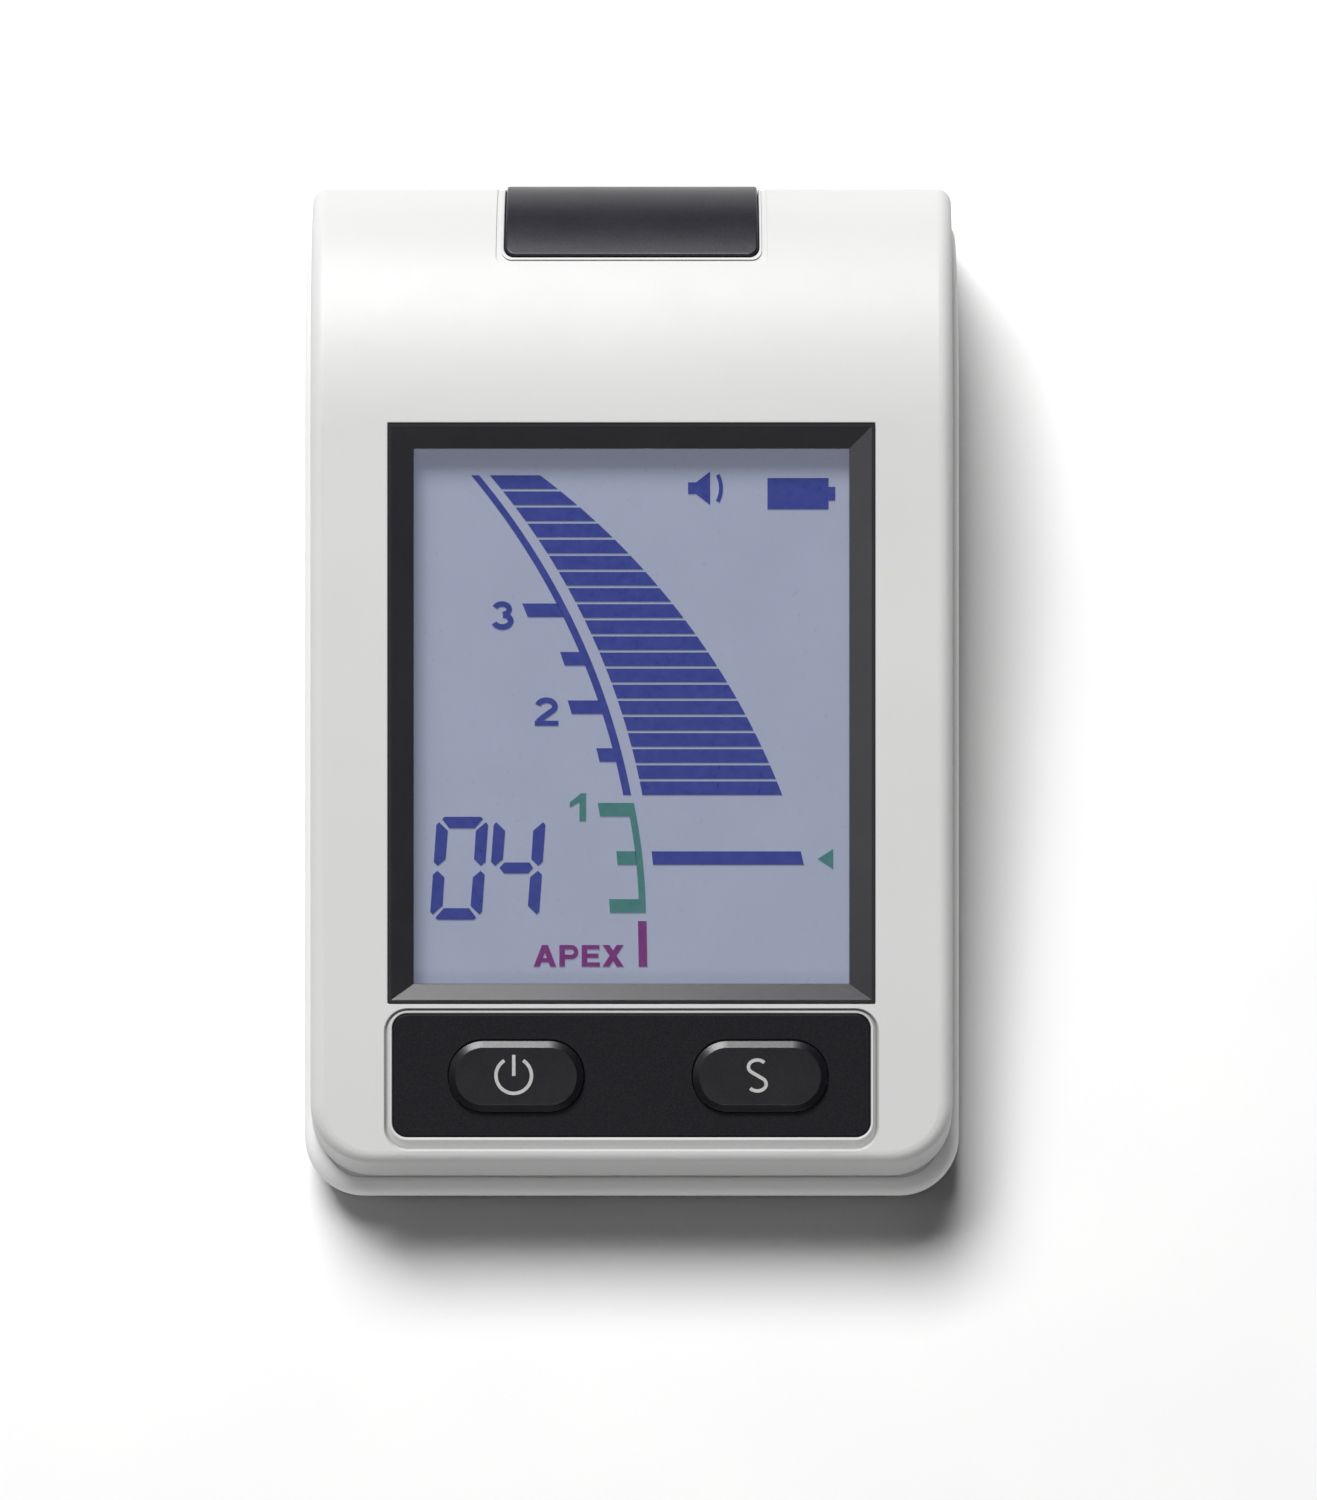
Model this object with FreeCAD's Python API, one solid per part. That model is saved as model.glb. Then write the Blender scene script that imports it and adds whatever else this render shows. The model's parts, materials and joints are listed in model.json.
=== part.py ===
import FreeCAD, Part

import math
import os

V = FreeCAD.Vector

# A pocket-size apex locator: a wedge-shaped white casing with a tilted display, two keys below it, a dark
# socket block at the back, and three AAA cells under a sliding door.
#
# Two frames are used, both in millimetres.
# Display frame: x across, s along the display from the key end, t out of the display, t = 0 on its face.
# Desk frame: x across, y away from the user, z up from the soles of the feet. to_desk() leads into it.

# ---- Casing ----
TILT = 10.0             # slope of the display to the desk, degrees
FACE_HEIGHT = 12.0      # from the base up to the display plane, at the key end
FOOT_STAND = 0.8        # how far the feet stand out of the base
ROLL_START = 70.2       # where the face begins to roll over to the back, along s
ROLL_LENGTH = 22.55     # the roll-over's reach along s
ROLL_DROP = 12.5        # the roll-over's drop along t
FACE_END = 3.75         # the face's sharp end at the keys, before rounding
END_SLOPE = 0.262       # how fast the key end leans out, per mm of depth
FRONT_HALF = 29.0       # half width of the front cover at its face
SIDE_SLOPE = 0.036      # how fast its sides lean out, per mm of depth
FRONT_CORNER = 5.6      # its corner radius at the key end
EDGE_ROUND = 1.3        # rounding of the face into the sides
SKIN = 2.0              # thickness of the face
SIDE_WALL = 1.6         # thickness of the front cover's sides
REAR_HALF = 30.0        # half width of the rear cover
REAR_CORNER = 5.5
REAR_WALL = 1.8
REAR_ROUND = 1.5        # rounding of the rear cover's upper edge
BASE_ROUND = 0.6
TAIL_ROUND = 1.5        # the base plate's corners at the back
RIM_ROUND = 0.15        # softening of the rims that the pockets leave in the skin
MOAT_DEPTH = 0.42       # channel round the key panel: its depth, and how far its lines lie outside the panel
MOAT_INNER = (0.25, 0.3, 0.22)      # (at the sides, below, above)
MOAT_LOW = (0.6, 1.1, 0.38)
MOAT_OUTER = (0.8, 1.3, 0.55)
PARTING = 6.6           # depth of the joint between the covers, under the face
PARTING_LENGTH = 20.3   # at the back the joint follows a quarter ellipse of its own
PARTING_DROP = 9.4
SEAM = 0.5              # the shadow gap between them
TONGUE = 1.0            # thickness of the rear cover's inner lip
TONGUE_RISE = 1.8
LEDGE = 1.2
SNUG = 0.1              # clearance between fixed pieces that sit inside each other

# ---- Display ----
BEZEL_HALF = 21.93
BEZEL_LOW = 18.1
BEZEL_HIGH = 70.35
BEZEL_SEAT = 1.2        # depth of the pocket that holds the bezel
BEZEL_LIP = 0.12        # how far its outer rim stands out of the face
BEZEL_RIM = 0.25        # width of that rim
BEVEL_DEPTH = 0.75      # the inner edge of the bevels lies this deep
VIEW_HALF = 19.7        # half width of the view
VIEW_LOW = 19.75
VIEW_HIGH = 68.15
SEAT_LEDGE = 1.25
WINDOW_TOP = -2.05
WINDOW_THICK = 0.8
GASKET_THICK = 0.3
LCD_HALF = 21.2
LCD_LOW = 18.6
LCD_HIGH = 69.7
LCD_THICK = 1.1
LIGHT_LOW = 20.6
LIGHT_HIGH = 67.0
LIGHT_THICK = 1.0
HOLDER_WALL = 1.4
STRIP_HALF = 18.5
STRIP_WIDE = 1.6

# ---- Keys ----
PANEL_HALF = 21.55
PANEL_LOW = 6.0
PANEL_HIGH = 17.07
PANEL_ROUND = 1.35
PANEL_THICK = 0.8
KEY_S = 11.5
POWER_X = -10.4
SET_X = 11.6
KEY_HALF_LONG = 6.1
KEY_HALF_WIDE = 3.2
KEY_STAND = 0.8         # the keys stand this far out of the panel
KEY_BEVEL = (0.62, 0.34)    # sloped border of a key's top: its width and its drop
KEY_SOFT = 0.1
KEY_PLAY = 0.1          # gap round a key in its hole
KEY_FLANGE = 0.8        # width of the flange that keeps a key in
FLANGE_THICK = 0.5
KEY_TRAVEL = 0.35
STOP_GAP = 0.05
STEM_R = 1.3

# ---- Board and what is on it ----
BOARD_TOP = -5.4
BOARD_THICK = 1.0
BOARD_HALF = 25.5
BOARD_LOW = 5.4
BOARD_HIGH = 72.0
BOARD_CORNER = 3.2
SWITCH_SIDE = 4.6
SWITCH_TALL = 1.65
PLUNGER_R = 1.0
PLUNGER_PLAY = 0.05
BUZZER_X = -13.0
BUZZER_S = 24.0
BUZZER_R = 6.0
BUZZER_TALL = 3.6
BUZZER_MOUTH = (1.0, 1.5)       # radius and depth of its mouth
SOUND_R = 0.6           # sound holes in the base
SOUND_RING = 2.6
LED_SIZE = (2.0, 0.5, 0.9)
LED_X = (-12.0, 0.0, 12.0)

# ---- Screws ----
CASE_SCREW_R = 1.0
CASE_HEAD_R = 1.9
CASE_HEAD_TALL = 1.2
FRONT_SCREW = (24.1, 11.5)      # x and s; the other one mirrors it
BACK_SCREW = (20.5, 83.0)
FRONT_SEAT = 2.4        # the front screws' heads seat this far over the base
SLOT = (2.4, 0.5, 1.2)          # cross slot: its length and width, and twice its depth
FRONT_BOSS_R = 2.0
BACK_BOSS_R = 2.3
FRONT_BOSS_FOOT = -8.0
BACK_BOSS_FOOT = -14.0
SCREW_BITE = 4.5        # how far a case screw goes into its post
BITE_ROOM = 5.0
BOSS_PLAY = 0.1         # gap between the posts of the two covers
BOARD_SCREW_X = 24.15
BOARD_SCREWS_S = (31.0, 65.5)
BOARD_BOSS_R = 1.25
BOARD_SCREW_R = 0.7
BOARD_HEAD_R = 1.3
BOARD_HEAD_TALL = 0.8
BOARD_SCREW_TIP = -3.4
PILOT_PLAY = 0.05

# ---- Battery compartment, in the desk frame ----
CELL_R = 5.25
CELL_LONG = 44.5
CELL_PITCH = 11.0
NUB_R = 1.9
NUB_LONG = 0.8
PLATE_THICK = 0.4
PLATE_SIDE = 8.4
SPRING_WIDE = 3.0
SPRING_FOOT = 3.6       # half height of a leaf spring at its plate
SPRING_NOSE = 0.6       # and at its nose
SPRING_THICK = 0.35
FLOOR_SIDE = 2.0        # the bay's floor is this much wider than the bay
DOOR_THICK = 1.6
DOOR_HALF = 25.7
DOOR_TONGUE = 0.8
DOOR_GAP = 0.15
DOOR_END = 0.3          # the door stops this far inside the back wall
DOOR_ROUND = 0.7        # rounding of its outer back edge
TONGUE_LOW = 0.55       # the door's side grooves, over the base
TONGUE_HIGH = 1.25
DOOR_OVERLAP = 0.4      # the door reaches this far past the bay's wall
THUMB_GROOVES = 6
THUMB_GROOVE = (20.0, 0.9, 0.7)
THUMB_START = 4.0
THUMB_PITCH = 1.8
BAY_HALF = 24.9
BAY_FRONT = 45.5
BAY_BACK = 78.9
BAY_ROOF = 12.5         # underside of the roof above the base
BAY_WALL = 1.1
BAY_ROOF_THICK = 0.6
FLOOR_OVER_DOOR = 1.15
FOOT_R = 3.5
FRONT_FOOT = (18.5, 9.5)
BACK_FOOT = (19.0, 87.0)
FOOT_SET = 0.4          # depth of the recess that a foot is glued into

# ---- Socket block and jack ----
BLOCK_HALF = 11.5
BLOCK_LOW = 85.75       # its edge on the roll-over, along s
BLOCK_STAND = 0.23
BLOCK_EDGE = 0.2        # rounding of its outer edges
BLOCK_MOAT = (0.32, 0.85)   # channel round it: from and to, outside its outline
BLOCK_MOAT_DEPTH = 0.15
BLOCK_ROUND = 0.9
BLOCK_FOOT = 3.6        # its lower edge above the base
BLOCK_FLANGE = 1.2
JACK_R = 1.8
JACK_Z = 8.0            # jack axis above the base
JACK_COLLAR_R = 2.9
JACK_HALF = 4.0
JACK_FRONT = 80.8
JACK_TALL = 3.5         # half height of the jack's body
JACK_BACK = 1.2         # its body ends this far inside the skin
BORE_START = 1.0
PIN = (0.6, 0.3, 1.2)
PIN_X = 2.6
PIN_Y = (83.0, 88.0)
RIBBON_HALF = 3.6
RIBBON_THICK = 0.2

# ---- Worked out from the above ----
ANGLE = math.radians(TILT)
FAR = 120.0
BASE = FOOT_STAND
BACK_WALL = (ROLL_START * math.cos(ANGLE) + ROLL_DROP * math.sin(ANGLE)
             + math.hypot(ROLL_LENGTH * math.cos(ANGLE), ROLL_DROP * math.sin(ANGLE)))
NEAR_END = (REAR_ROUND * math.cos(ANGLE) + (PARTING + SEAM + REAR_ROUND) * math.sin(ANGLE)
            - REAR_ROUND)
MIDDLE = (BACK_WALL + BLOCK_STAND + NEAR_END) / 2
WINDOW_LOW_FACE = WINDOW_TOP - WINDOW_THICK
LCD_TOP = WINDOW_LOW_FACE - GASKET_THICK
LCD_UNDER = LCD_TOP - LCD_THICK
LIGHT_TOP = LCD_UNDER - 0.05
BOARD_UNDER = BOARD_TOP - BOARD_THICK
SWITCH_TOP = BOARD_TOP + SWITCH_TALL
FLANGE_TOP = -SKIN - SNUG
STEM_END = SWITCH_TOP + KEY_TRAVEL + STOP_GAP
CELL_Z = BASE + DOOR_THICK + 0.25 + CELL_R
CELL_Y = (BAY_FRONT + BAY_BACK) / 2


def seat_depth(place, over_base):
    """The depth along t at which a line through place is over_base above the base."""
    return (over_base - FACE_HEIGHT - place[1] * math.sin(ANGLE)) / math.cos(ANGLE)


FRONT_HEAD = seat_depth(FRONT_SCREW, FRONT_SEAT)
BACK_HEAD = seat_depth(BACK_SCREW, DOOR_THICK + DOOR_GAP + CASE_HEAD_TALL + 0.5)


# ---- Shapes that many pieces use ----
def box(x, s, t):
    """A block between the two limits on each axis."""
    return Part.makeBox(x[1] - x[0], s[1] - s[0], t[1] - t[0], V(x[0], s[0], t[0]))


def mid_box(centre, sizes):
    """A block by its centre and its three sizes."""
    corner = [c - size / 2 for c, size in zip(centre, sizes)]
    return Part.makeBox(*sizes, V(*corner))


def rod(x, s, radius, t):
    """A round bar along t between two depths."""
    return Part.makeCylinder(radius, t[1] - t[0], V(x, s, t[0]))


def rounded_plate(x, s, t, radius):
    """A block whose four upright edges are rounded."""
    plate = box(x, s, t)
    upright = [e for e in plate.Edges if abs(e.tangentAt(e.FirstParameter).z) > 0.9]
    return plate.makeFillet(radius, upright)


def top_wire(plate):
    """The outline of a block's upper face."""
    return max(plate.Faces, key=lambda face: face.CenterOfMass.z).OuterWire


def pill(x, s, half_long, half_wide, t):
    """A block with fully round ends."""
    return rounded_plate((x - half_long, x + half_long), (s - half_wide, s + half_wide), t, half_wide * 0.98)


def both_sides(shape):
    """A shape with its mirror image across the middle plane."""
    return Part.makeCompound([shape, shape.mirror(V(0, 0, 0), V(1, 0, 0))])


def join(first, *others):
    """One solid from touching or overlapping ones."""
    return first.multiFuse(list(others)).removeSplitter()


def to_desk(shape):
    """From the display frame to the desk frame."""
    moved = shape.copy()
    moved.rotate(V(0, 0, 0), V(1, 0, 0), TILT)
    moved.translate(V(0, 0, BASE + FACE_HEIGHT))
    return moved


def sector(s, t):
    """A point in the plane across the casing."""
    return V(0, s, t)


def under_curve(depth, long_r, short_r):
    """All that lies under a curve across the casing: level at depth behind the face, then rolling over in a
    part of an ellipse from ROLL_START on, then straight down."""
    centre = sector(ROLL_START, -depth - short_r)
    ellipse = Part.Ellipse(centre + sector(long_r, 0), centre + sector(0, short_r), centre)
    last = -math.atan2(short_r * math.tan(ANGLE), long_r)
    roll = Part.ArcOfEllipse(ellipse, last, math.pi / 2).toShape()
    start = sector(-FAR, -depth)
    crest = sector(ROLL_START, -depth)
    brink = ellipse.value(last)
    foot = brink + sector(-math.sin(ANGLE), -math.cos(ANGLE)) * FAR
    corner = sector(-FAR, foot.z)
    straight = [(brink, foot), (foot, corner), (corner, start), (start, crest)]
    edges = [roll] + [Part.makeLine(a, b) for a, b in straight]
    face = Part.Face(Part.Wire(Part.__sortEdges__(edges)))
    face.translate(V(-FAR / 2, 0, 0))
    return face.extrude(V(FAR, 0, 0))


def under_skin(depth):
    """All that lies deeper than depth below the outer skin."""
    return under_curve(depth, ROLL_LENGTH - depth, ROLL_DROP - depth)


def under_parting(depth):
    """All that lies deeper than depth below the joint between the covers."""
    return under_curve(PARTING + depth, PARTING_LENGTH - depth, PARTING_DROP - depth)


def outline(half, end, radius, t):
    """The casing's outline seen along t, rounded at the key end and open-ended towards the back."""
    bend = radius * (1 - math.sqrt(0.5))
    near = [V(-half, FAR, t), V(-half, end + radius, t), V(-half + bend, end + bend, t),
            V(-half + radius, end, t)]
    far = [V(-p.x, p.y, p.z) for p in reversed(near)]
    edges = [
        Part.makeLine(near[0], near[1]),
        Part.Arc(near[1], near[2], near[3]).toShape(),
        Part.makeLine(near[3], far[0]),
        Part.Arc(far[0], far[1], far[2]).toShape(),
        Part.makeLine(far[2], far[3]),
        Part.makeLine(far[3], near[0]),
    ]
    return Part.Wire(edges)


def front_block(inset):
    """The front cover's sides, moved inwards by inset; they lean out on the way down."""
    high, low = 3.0, -34.0
    wires = [outline(FRONT_HALF - t * SIDE_SLOPE - inset, FACE_END + t * END_SLOPE + inset,
                     FRONT_CORNER - inset, t) for t in (high, low)]
    return Part.makeLoft(wires, True, True)


def rear_block(inset):
    """The rear cover's sides, moved inwards by inset."""
    face = Part.Face(outline(REAR_HALF - inset, inset, REAR_CORNER - inset, -40.0))
    return face.extrude(V(0, 0, 45.0))


def above(height):
    """All that is higher than height over the base, in the desk frame."""
    return box((-FAR, FAR), (-FAR, FAR), (BASE + height, FAR))


def below(height):
    """All that is lower than height over the base, in the desk frame."""
    return box((-FAR, FAR), (-FAR, FAR), (-FAR, BASE + height))


def round_edges(solid, surface, radius):
    """Rounds a surface into the sides all the way round; the surface is the top of an under_curve body."""
    found = []
    for edge in solid.Edges:
        middle = edge.valueAt((edge.FirstParameter + edge.LastParameter) / 2)
        across = abs(middle.x) < 0.01 and middle.y > ROLL_START - 0.01
        on_surface = surface.distToShape(Part.Vertex(middle))[0] < 1e-4
        if on_surface and not across and not surface.isInside(middle, 1e-4, False):
            found.append(edge)
    return solid.makeFillet(radius, found)


# ---- Front cover ----
def front_cover():
    shell = round_edges(front_block(0).common(under_skin(0)), under_skin(0), EDGE_ROUND)
    hollow = front_block(SIDE_WALL).common(under_skin(SKIN))
    shell = shell.cut(hollow).cut(under_parting(0))
    bosses = [case_boss(FRONT_SCREW, FRONT_BOSS_R, FRONT_BOSS_FOOT)]
    bosses.append(case_boss(BACK_SCREW, BACK_BOSS_R, BACK_BOSS_FOOT))
    bosses += [board_boss(s) for s in BOARD_SCREWS_S]
    shell = shell.multiFuse([b.common(under_skin(SKIN / 2)) for b in bosses])
    for pocket in (display_pocket(), panel_pocket(), block_prism(BLOCK_HALF + SNUG, BLOCK_LOW - SNUG)):
        shell = soften_rim(shell.cut(pocket), pocket)
    for x in (POWER_X, SET_X):
        shell = shell.cut(key_hole(x, -SKIN - 1, 0))
    shell = shell.cut(panel_moat()).cut(block_moat())
    return to_desk(shell).common(above(REAR_WALL + 0.2)).removeSplitter()


def case_boss(place, radius, foot):
    """A pair of posts under the face that the case screws bite into."""
    x, s = place
    pilot = rod(x, s, CASE_SCREW_R + PILOT_PLAY, (foot - 1, foot + BITE_ROOM))
    return both_sides(rod(x, s, radius, (foot, 0)).cut(pilot))


def board_boss(s):
    """A pair of posts that the board is screwed to."""
    post = rod(BOARD_SCREW_X, s, BOARD_BOSS_R, (BOARD_TOP, 0))
    pilot = rod(BOARD_SCREW_X, s, BOARD_SCREW_R + PILOT_PLAY, (BOARD_TOP - 1, BOARD_SCREW_TIP + 0.4))
    return both_sides(post.cut(pilot))


def display_pocket():
    """The seat of the bezel, with the opening behind it."""
    half = BEZEL_HALF + SNUG / 2
    seat = box((-half, half), (BEZEL_LOW - SNUG / 2, BEZEL_HIGH + SNUG / 2), (-BEZEL_SEAT, 1))
    inner = BEZEL_HALF - SEAT_LEDGE
    return seat.fuse(box((-inner, inner), (BEZEL_LOW + 1.0, BEZEL_HIGH - SEAT_LEDGE), (-SKIN - 1, 1)))


def soften_rim(shell, pocket):
    """Rounds the rim that a pocket leaves on the outer skin."""
    skin = under_skin(0)
    rim = []
    for edge in shell.Edges:
        middle = edge.valueAt((edge.FirstParameter + edge.LastParameter) / 2)
        if on_boundary(skin, middle) and on_boundary(pocket, middle):
            rim.append(edge)
    return shell.makeFillet(RIM_ROUND, rim)


def on_boundary(solid, point):
    """True if the point lies on the solid's own faces."""
    near = solid.distToShape(Part.Vertex(point))[0] < 1e-4
    return near and not solid.isInside(point, 1e-4, False)


def rounded_ring(grow, t, radius):
    """A rounded rectangle round the key panel, grown by (sides, below, above)."""
    sides, below, above_it = grow
    half = PANEL_HALF + sides
    along = (PANEL_LOW - below, PANEL_HIGH + above_it)
    plate = rounded_plate((-half, half), along, (t - 1, t), PANEL_ROUND + radius)
    return top_wire(plate)


def panel_moat():
    """A shallow channel round the key panel, with a long inner slope and a short outer one."""
    low = rounded_ring(MOAT_LOW, -MOAT_DEPTH, MOAT_LOW[0])
    outside = Part.makeLoft([low, rounded_ring(MOAT_OUTER, 0.001, MOAT_OUTER[0])], True, True)
    inside = Part.makeLoft([low, rounded_ring(MOAT_INNER, 0.001, MOAT_INNER[0])], True, True)
    return outside.cut(inside)


def block_moat():
    """A shallow channel round the socket block's opening."""
    channel = block_prism(BLOCK_HALF + BLOCK_MOAT[1], BLOCK_LOW - BLOCK_MOAT[1])
    channel = channel.cut(block_prism(BLOCK_HALF + BLOCK_MOAT[0], BLOCK_LOW - BLOCK_MOAT[0]))
    return channel.cut(under_skin(BLOCK_MOAT_DEPTH))


def panel_pocket():
    """The shallow seat of the key panel."""
    edge = SNUG / 2
    return rounded_plate((-PANEL_HALF - edge, PANEL_HALF + edge), (PANEL_LOW - edge, PANEL_HIGH + edge),
                         (-PANEL_THICK - 0.05, 1), PANEL_ROUND)


def key_hole(x, low, high):
    return pill(x, KEY_S, KEY_HALF_LONG + KEY_PLAY, KEY_HALF_WIDE + KEY_PLAY, (low, high))


def block_prism(half, low):
    """What the socket block's outline sweeps along t, down to its lower edge on the back wall."""
    return rounded_plate((-half, half), (low, FAR), (-60.0, 2.0), BLOCK_ROUND).common(
        from_desk(above(BLOCK_FOOT)))


def from_desk(shape):
    """From the desk frame to the display frame."""
    moved = shape.copy()
    moved.translate(V(0, 0, -BASE - FACE_HEIGHT))
    moved.rotate(V(0, 0, 0), V(1, 0, 0), -TILT)
    return moved


# ---- Rear cover ----
def rear_cover():
    body = round_edges(rear_block(0).common(under_parting(SEAM)), under_parting(SEAM), REAR_ROUND)
    body = to_desk(body).common(above(0)).fuse(tail_plate()).removeSplitter()
    rim = [e for e in body.Edges if all(abs(v.Z - BASE) < 1e-6 for v in e.Vertexes)]
    body = body.makeFillet(BASE_ROUND, rim)
    body = body.cut(to_desk(rear_block(REAR_WALL)).common(above(REAR_WALL)))
    for piece in [inner_lip(), bay()] + rear_bosses():
        body = body.fuse(piece)
    for hole in [door_way()] + rear_holes():
        body = body.cut(hole)
    return body.removeSplitter()


def tail_plate():
    """The base's reach under the front cover's back wall."""
    plate = to_desk(rear_block(0).common(under_skin(0))).common(above(0)).common(below(REAR_WALL))
    return plate.common(rounded_plate((-REAR_HALF, REAR_HALF), (-FAR, BACK_WALL), (-1, FAR), TAIL_ROUND))


def inner_lip():
    """The ledge and the lip on it that stands up inside the front cover and closes the seam."""
    ledge = rear_block(REAR_WALL - 0.15).common(under_parting(SEAM + 0.1)).cut(under_parting(SEAM + LEDGE))
    lip = front_block(SIDE_WALL + SNUG).common(under_parting(-TONGUE_RISE)).common(under_skin(SKIN + SNUG))
    lip = lip.cut(under_parting(SEAM + LEDGE / 2))
    both = ledge.fuse(lip).cut(front_block(SIDE_WALL + SNUG + TONGUE))
    return to_desk(both).common(above(REAR_WALL / 2))


def bay():
    """The cell bay's walls and roof, with the floor that reaches back over the door."""
    outer = box((-BAY_HALF - BAY_WALL, BAY_HALF + BAY_WALL), (BAY_FRONT - BAY_WALL, BAY_BACK + BAY_WALL),
                (BASE + REAR_WALL / 2, BASE + BAY_ROOF + BAY_ROOF_THICK))
    side = BAY_HALF + FLOOR_SIDE
    floor = box((-side, side), (BAY_FRONT - 2 * BAY_WALL, BACK_WALL - SKIN - 2 * SNUG),
                (BASE + REAR_WALL / 2, BASE + DOOR_THICK + DOOR_GAP + FLOOR_OVER_DOOR))
    room = box((-BAY_HALF, BAY_HALF), (BAY_FRONT, BAY_BACK), (-1, BASE + BAY_ROOF))
    return outer.fuse(floor).cut(room)


def door_way():
    """The room that the door slides in, open at the back and through into the bay."""
    edge = DOOR_HALF + DOOR_GAP
    front = BAY_FRONT - BAY_WALL - DOOR_OVERLAP
    top = BASE + DOOR_THICK + DOOR_GAP
    way = box((-edge, edge), (front, FAR), (-1, top))
    open_tail = box((-edge, edge), (BACK_WALL - SKIN - 3 * SNUG, FAR), (-1, BASE + REAR_WALL + 1))
    deep = edge + DOOR_TONGUE
    grooves = box((-deep, deep), (front, FAR), (BASE + TONGUE_LOW, BASE + TONGUE_HIGH))
    room = box((-BAY_HALF, BAY_HALF), (BAY_FRONT, BAY_BACK), (-1, BASE + DOOR_THICK + 1))
    return way.multiFuse([open_tail, grooves, room])


def rear_bosses():
    """Posts that stand up from the floor to meet the front cover's."""
    front = both_sides(rod(*FRONT_SCREW, FRONT_BOSS_R + 0.9, (-30.0, FRONT_BOSS_FOOT - BOSS_PLAY)))
    back = both_sides(rod(*BACK_SCREW, BACK_BOSS_R + 0.4, (-30.0, BACK_BOSS_FOOT - BOSS_PLAY)))
    side = BAY_HALF + FLOOR_SIDE
    limit = box((-side, side), (BAY_BACK, BACK_WALL - SKIN - 2 * SNUG), (BASE, FAR))
    return [to_desk(front).common(above(0)).common(to_desk(rear_block(0.5))),
            to_desk(back).common(above(DOOR_THICK + DOOR_GAP)).common(limit)]


def rear_holes():
    """Screw holes with their counterbores, recesses for the front feet, and the buzzer's sound holes."""
    cuts = []
    for place, head in ((FRONT_SCREW, FRONT_HEAD), (BACK_SCREW, BACK_HEAD)):
        cuts.append(to_desk(both_sides(rod(*place, CASE_SCREW_R + 0.2, (head, 0)))))
        cuts.append(to_desk(both_sides(rod(*place, CASE_HEAD_R + 0.2, (-40.0, head)))))
    cuts.append(both_sides(rod(*FRONT_FOOT, FOOT_R + SNUG / 2, (0, BASE + FOOT_SET))))
    cuts += [rod(x, y, SOUND_R, (-1, BASE + REAR_WALL + 1)) for x, y in sound_holes()]
    return cuts


def sound_holes():
    """One hole with six round it, under the buzzer."""
    centre = (BUZZER_X, BUZZER_S * math.cos(ANGLE) - BOARD_UNDER * math.sin(ANGLE))
    turns = [math.radians(angle) for angle in range(0, 360, 60)]
    ring = [(centre[0] + SOUND_RING * math.cos(a), centre[1] + SOUND_RING * math.sin(a)) for a in turns]
    return [centre] + ring


# ---- Display ----
def display_bezel():
    """A frame with four mitred bevels that fall to the view, and a skirt that lines the opening."""
    rim = box((-BEZEL_HALF, BEZEL_HALF), (BEZEL_LOW, BEZEL_HIGH), (-BEZEL_SEAT, BEZEL_LIP))
    skirt_half = BEZEL_HALF - SEAT_LEDGE - SNUG / 2
    skirt = box((-skirt_half, skirt_half), (BEZEL_LOW + 1.0 + SNUG / 2, BEZEL_HIGH - SEAT_LEDGE - SNUG / 2),
                (-SKIN, 0))
    view = box((-VIEW_HALF, VIEW_HALF), (VIEW_LOW, VIEW_HIGH), (-SKIN - 1, 1))
    top = flat_frame(BEZEL_HALF - BEZEL_RIM, BEZEL_LOW + BEZEL_RIM, BEZEL_HIGH - BEZEL_RIM, BEZEL_LIP + 1e-3)
    foot = flat_frame(VIEW_HALF, VIEW_LOW, VIEW_HIGH, -BEVEL_DEPTH)
    bevels = Part.makeLoft([foot, top], True, True)
    return rim.fuse(skirt).cut(view).cut(bevels).removeSplitter()


def flat_frame(half, low, high, t):
    """A rectangle at depth t."""
    return Part.makePolygon([V(-half, low, t), V(half, low, t), V(half, high, t), V(-half, high, t),
                             V(-half, low, t)])


def display_window():
    """The clear sheet behind the bezel."""
    return rounded_plate((-LCD_HALF - 0.3, LCD_HALF + 0.3), (LCD_LOW - 0.3, LCD_HIGH + 0.3),
                         (WINDOW_LOW_FACE, WINDOW_TOP), 0.8)


def window_gasket():
    """A thin foam frame between the window and the panel."""
    frame = box((-LCD_HALF, LCD_HALF), (LCD_LOW, LCD_HIGH), (LCD_TOP, WINDOW_LOW_FACE))
    return frame.cut(box((-VIEW_HALF - 0.4, VIEW_HALF + 0.4), (VIEW_LOW - 0.4, VIEW_HIGH + 0.4), (-9, 9)))


def lcd_panel():
    """The liquid crystal sandwich of glass."""
    return box((-LCD_HALF, LCD_HALF), (LCD_LOW, LCD_HIGH), (LCD_UNDER, LCD_TOP))


def light_guide():
    """The slab that spreads the backlight."""
    half = LCD_HALF - 0.4
    return box((-half, half), (LIGHT_LOW, LIGHT_HIGH), (LIGHT_TOP - LIGHT_THICK, LIGHT_TOP))


def backlight_leds():
    """Three lamps on the board, at the light guide's upper edge."""
    s = LIGHT_HIGH + 0.4
    return Part.makeCompound([mid_box((x, s, BOARD_TOP + LED_SIZE[2] / 2), LED_SIZE) for x in LED_X])


def contact_strips():
    """Two rubber strips that join the panel's edges to the board."""
    places = (LCD_LOW + STRIP_WIDE / 2 + 0.1, LCD_HIGH - STRIP_WIDE / 2 + 0.1 - 0.2)
    strips = [box((-STRIP_HALF, STRIP_HALF), (s - STRIP_WIDE / 2, s + STRIP_WIDE / 2 - 0.3),
                  (BOARD_TOP, LCD_UNDER)) for s in places]
    return Part.makeCompound(strips)


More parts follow.
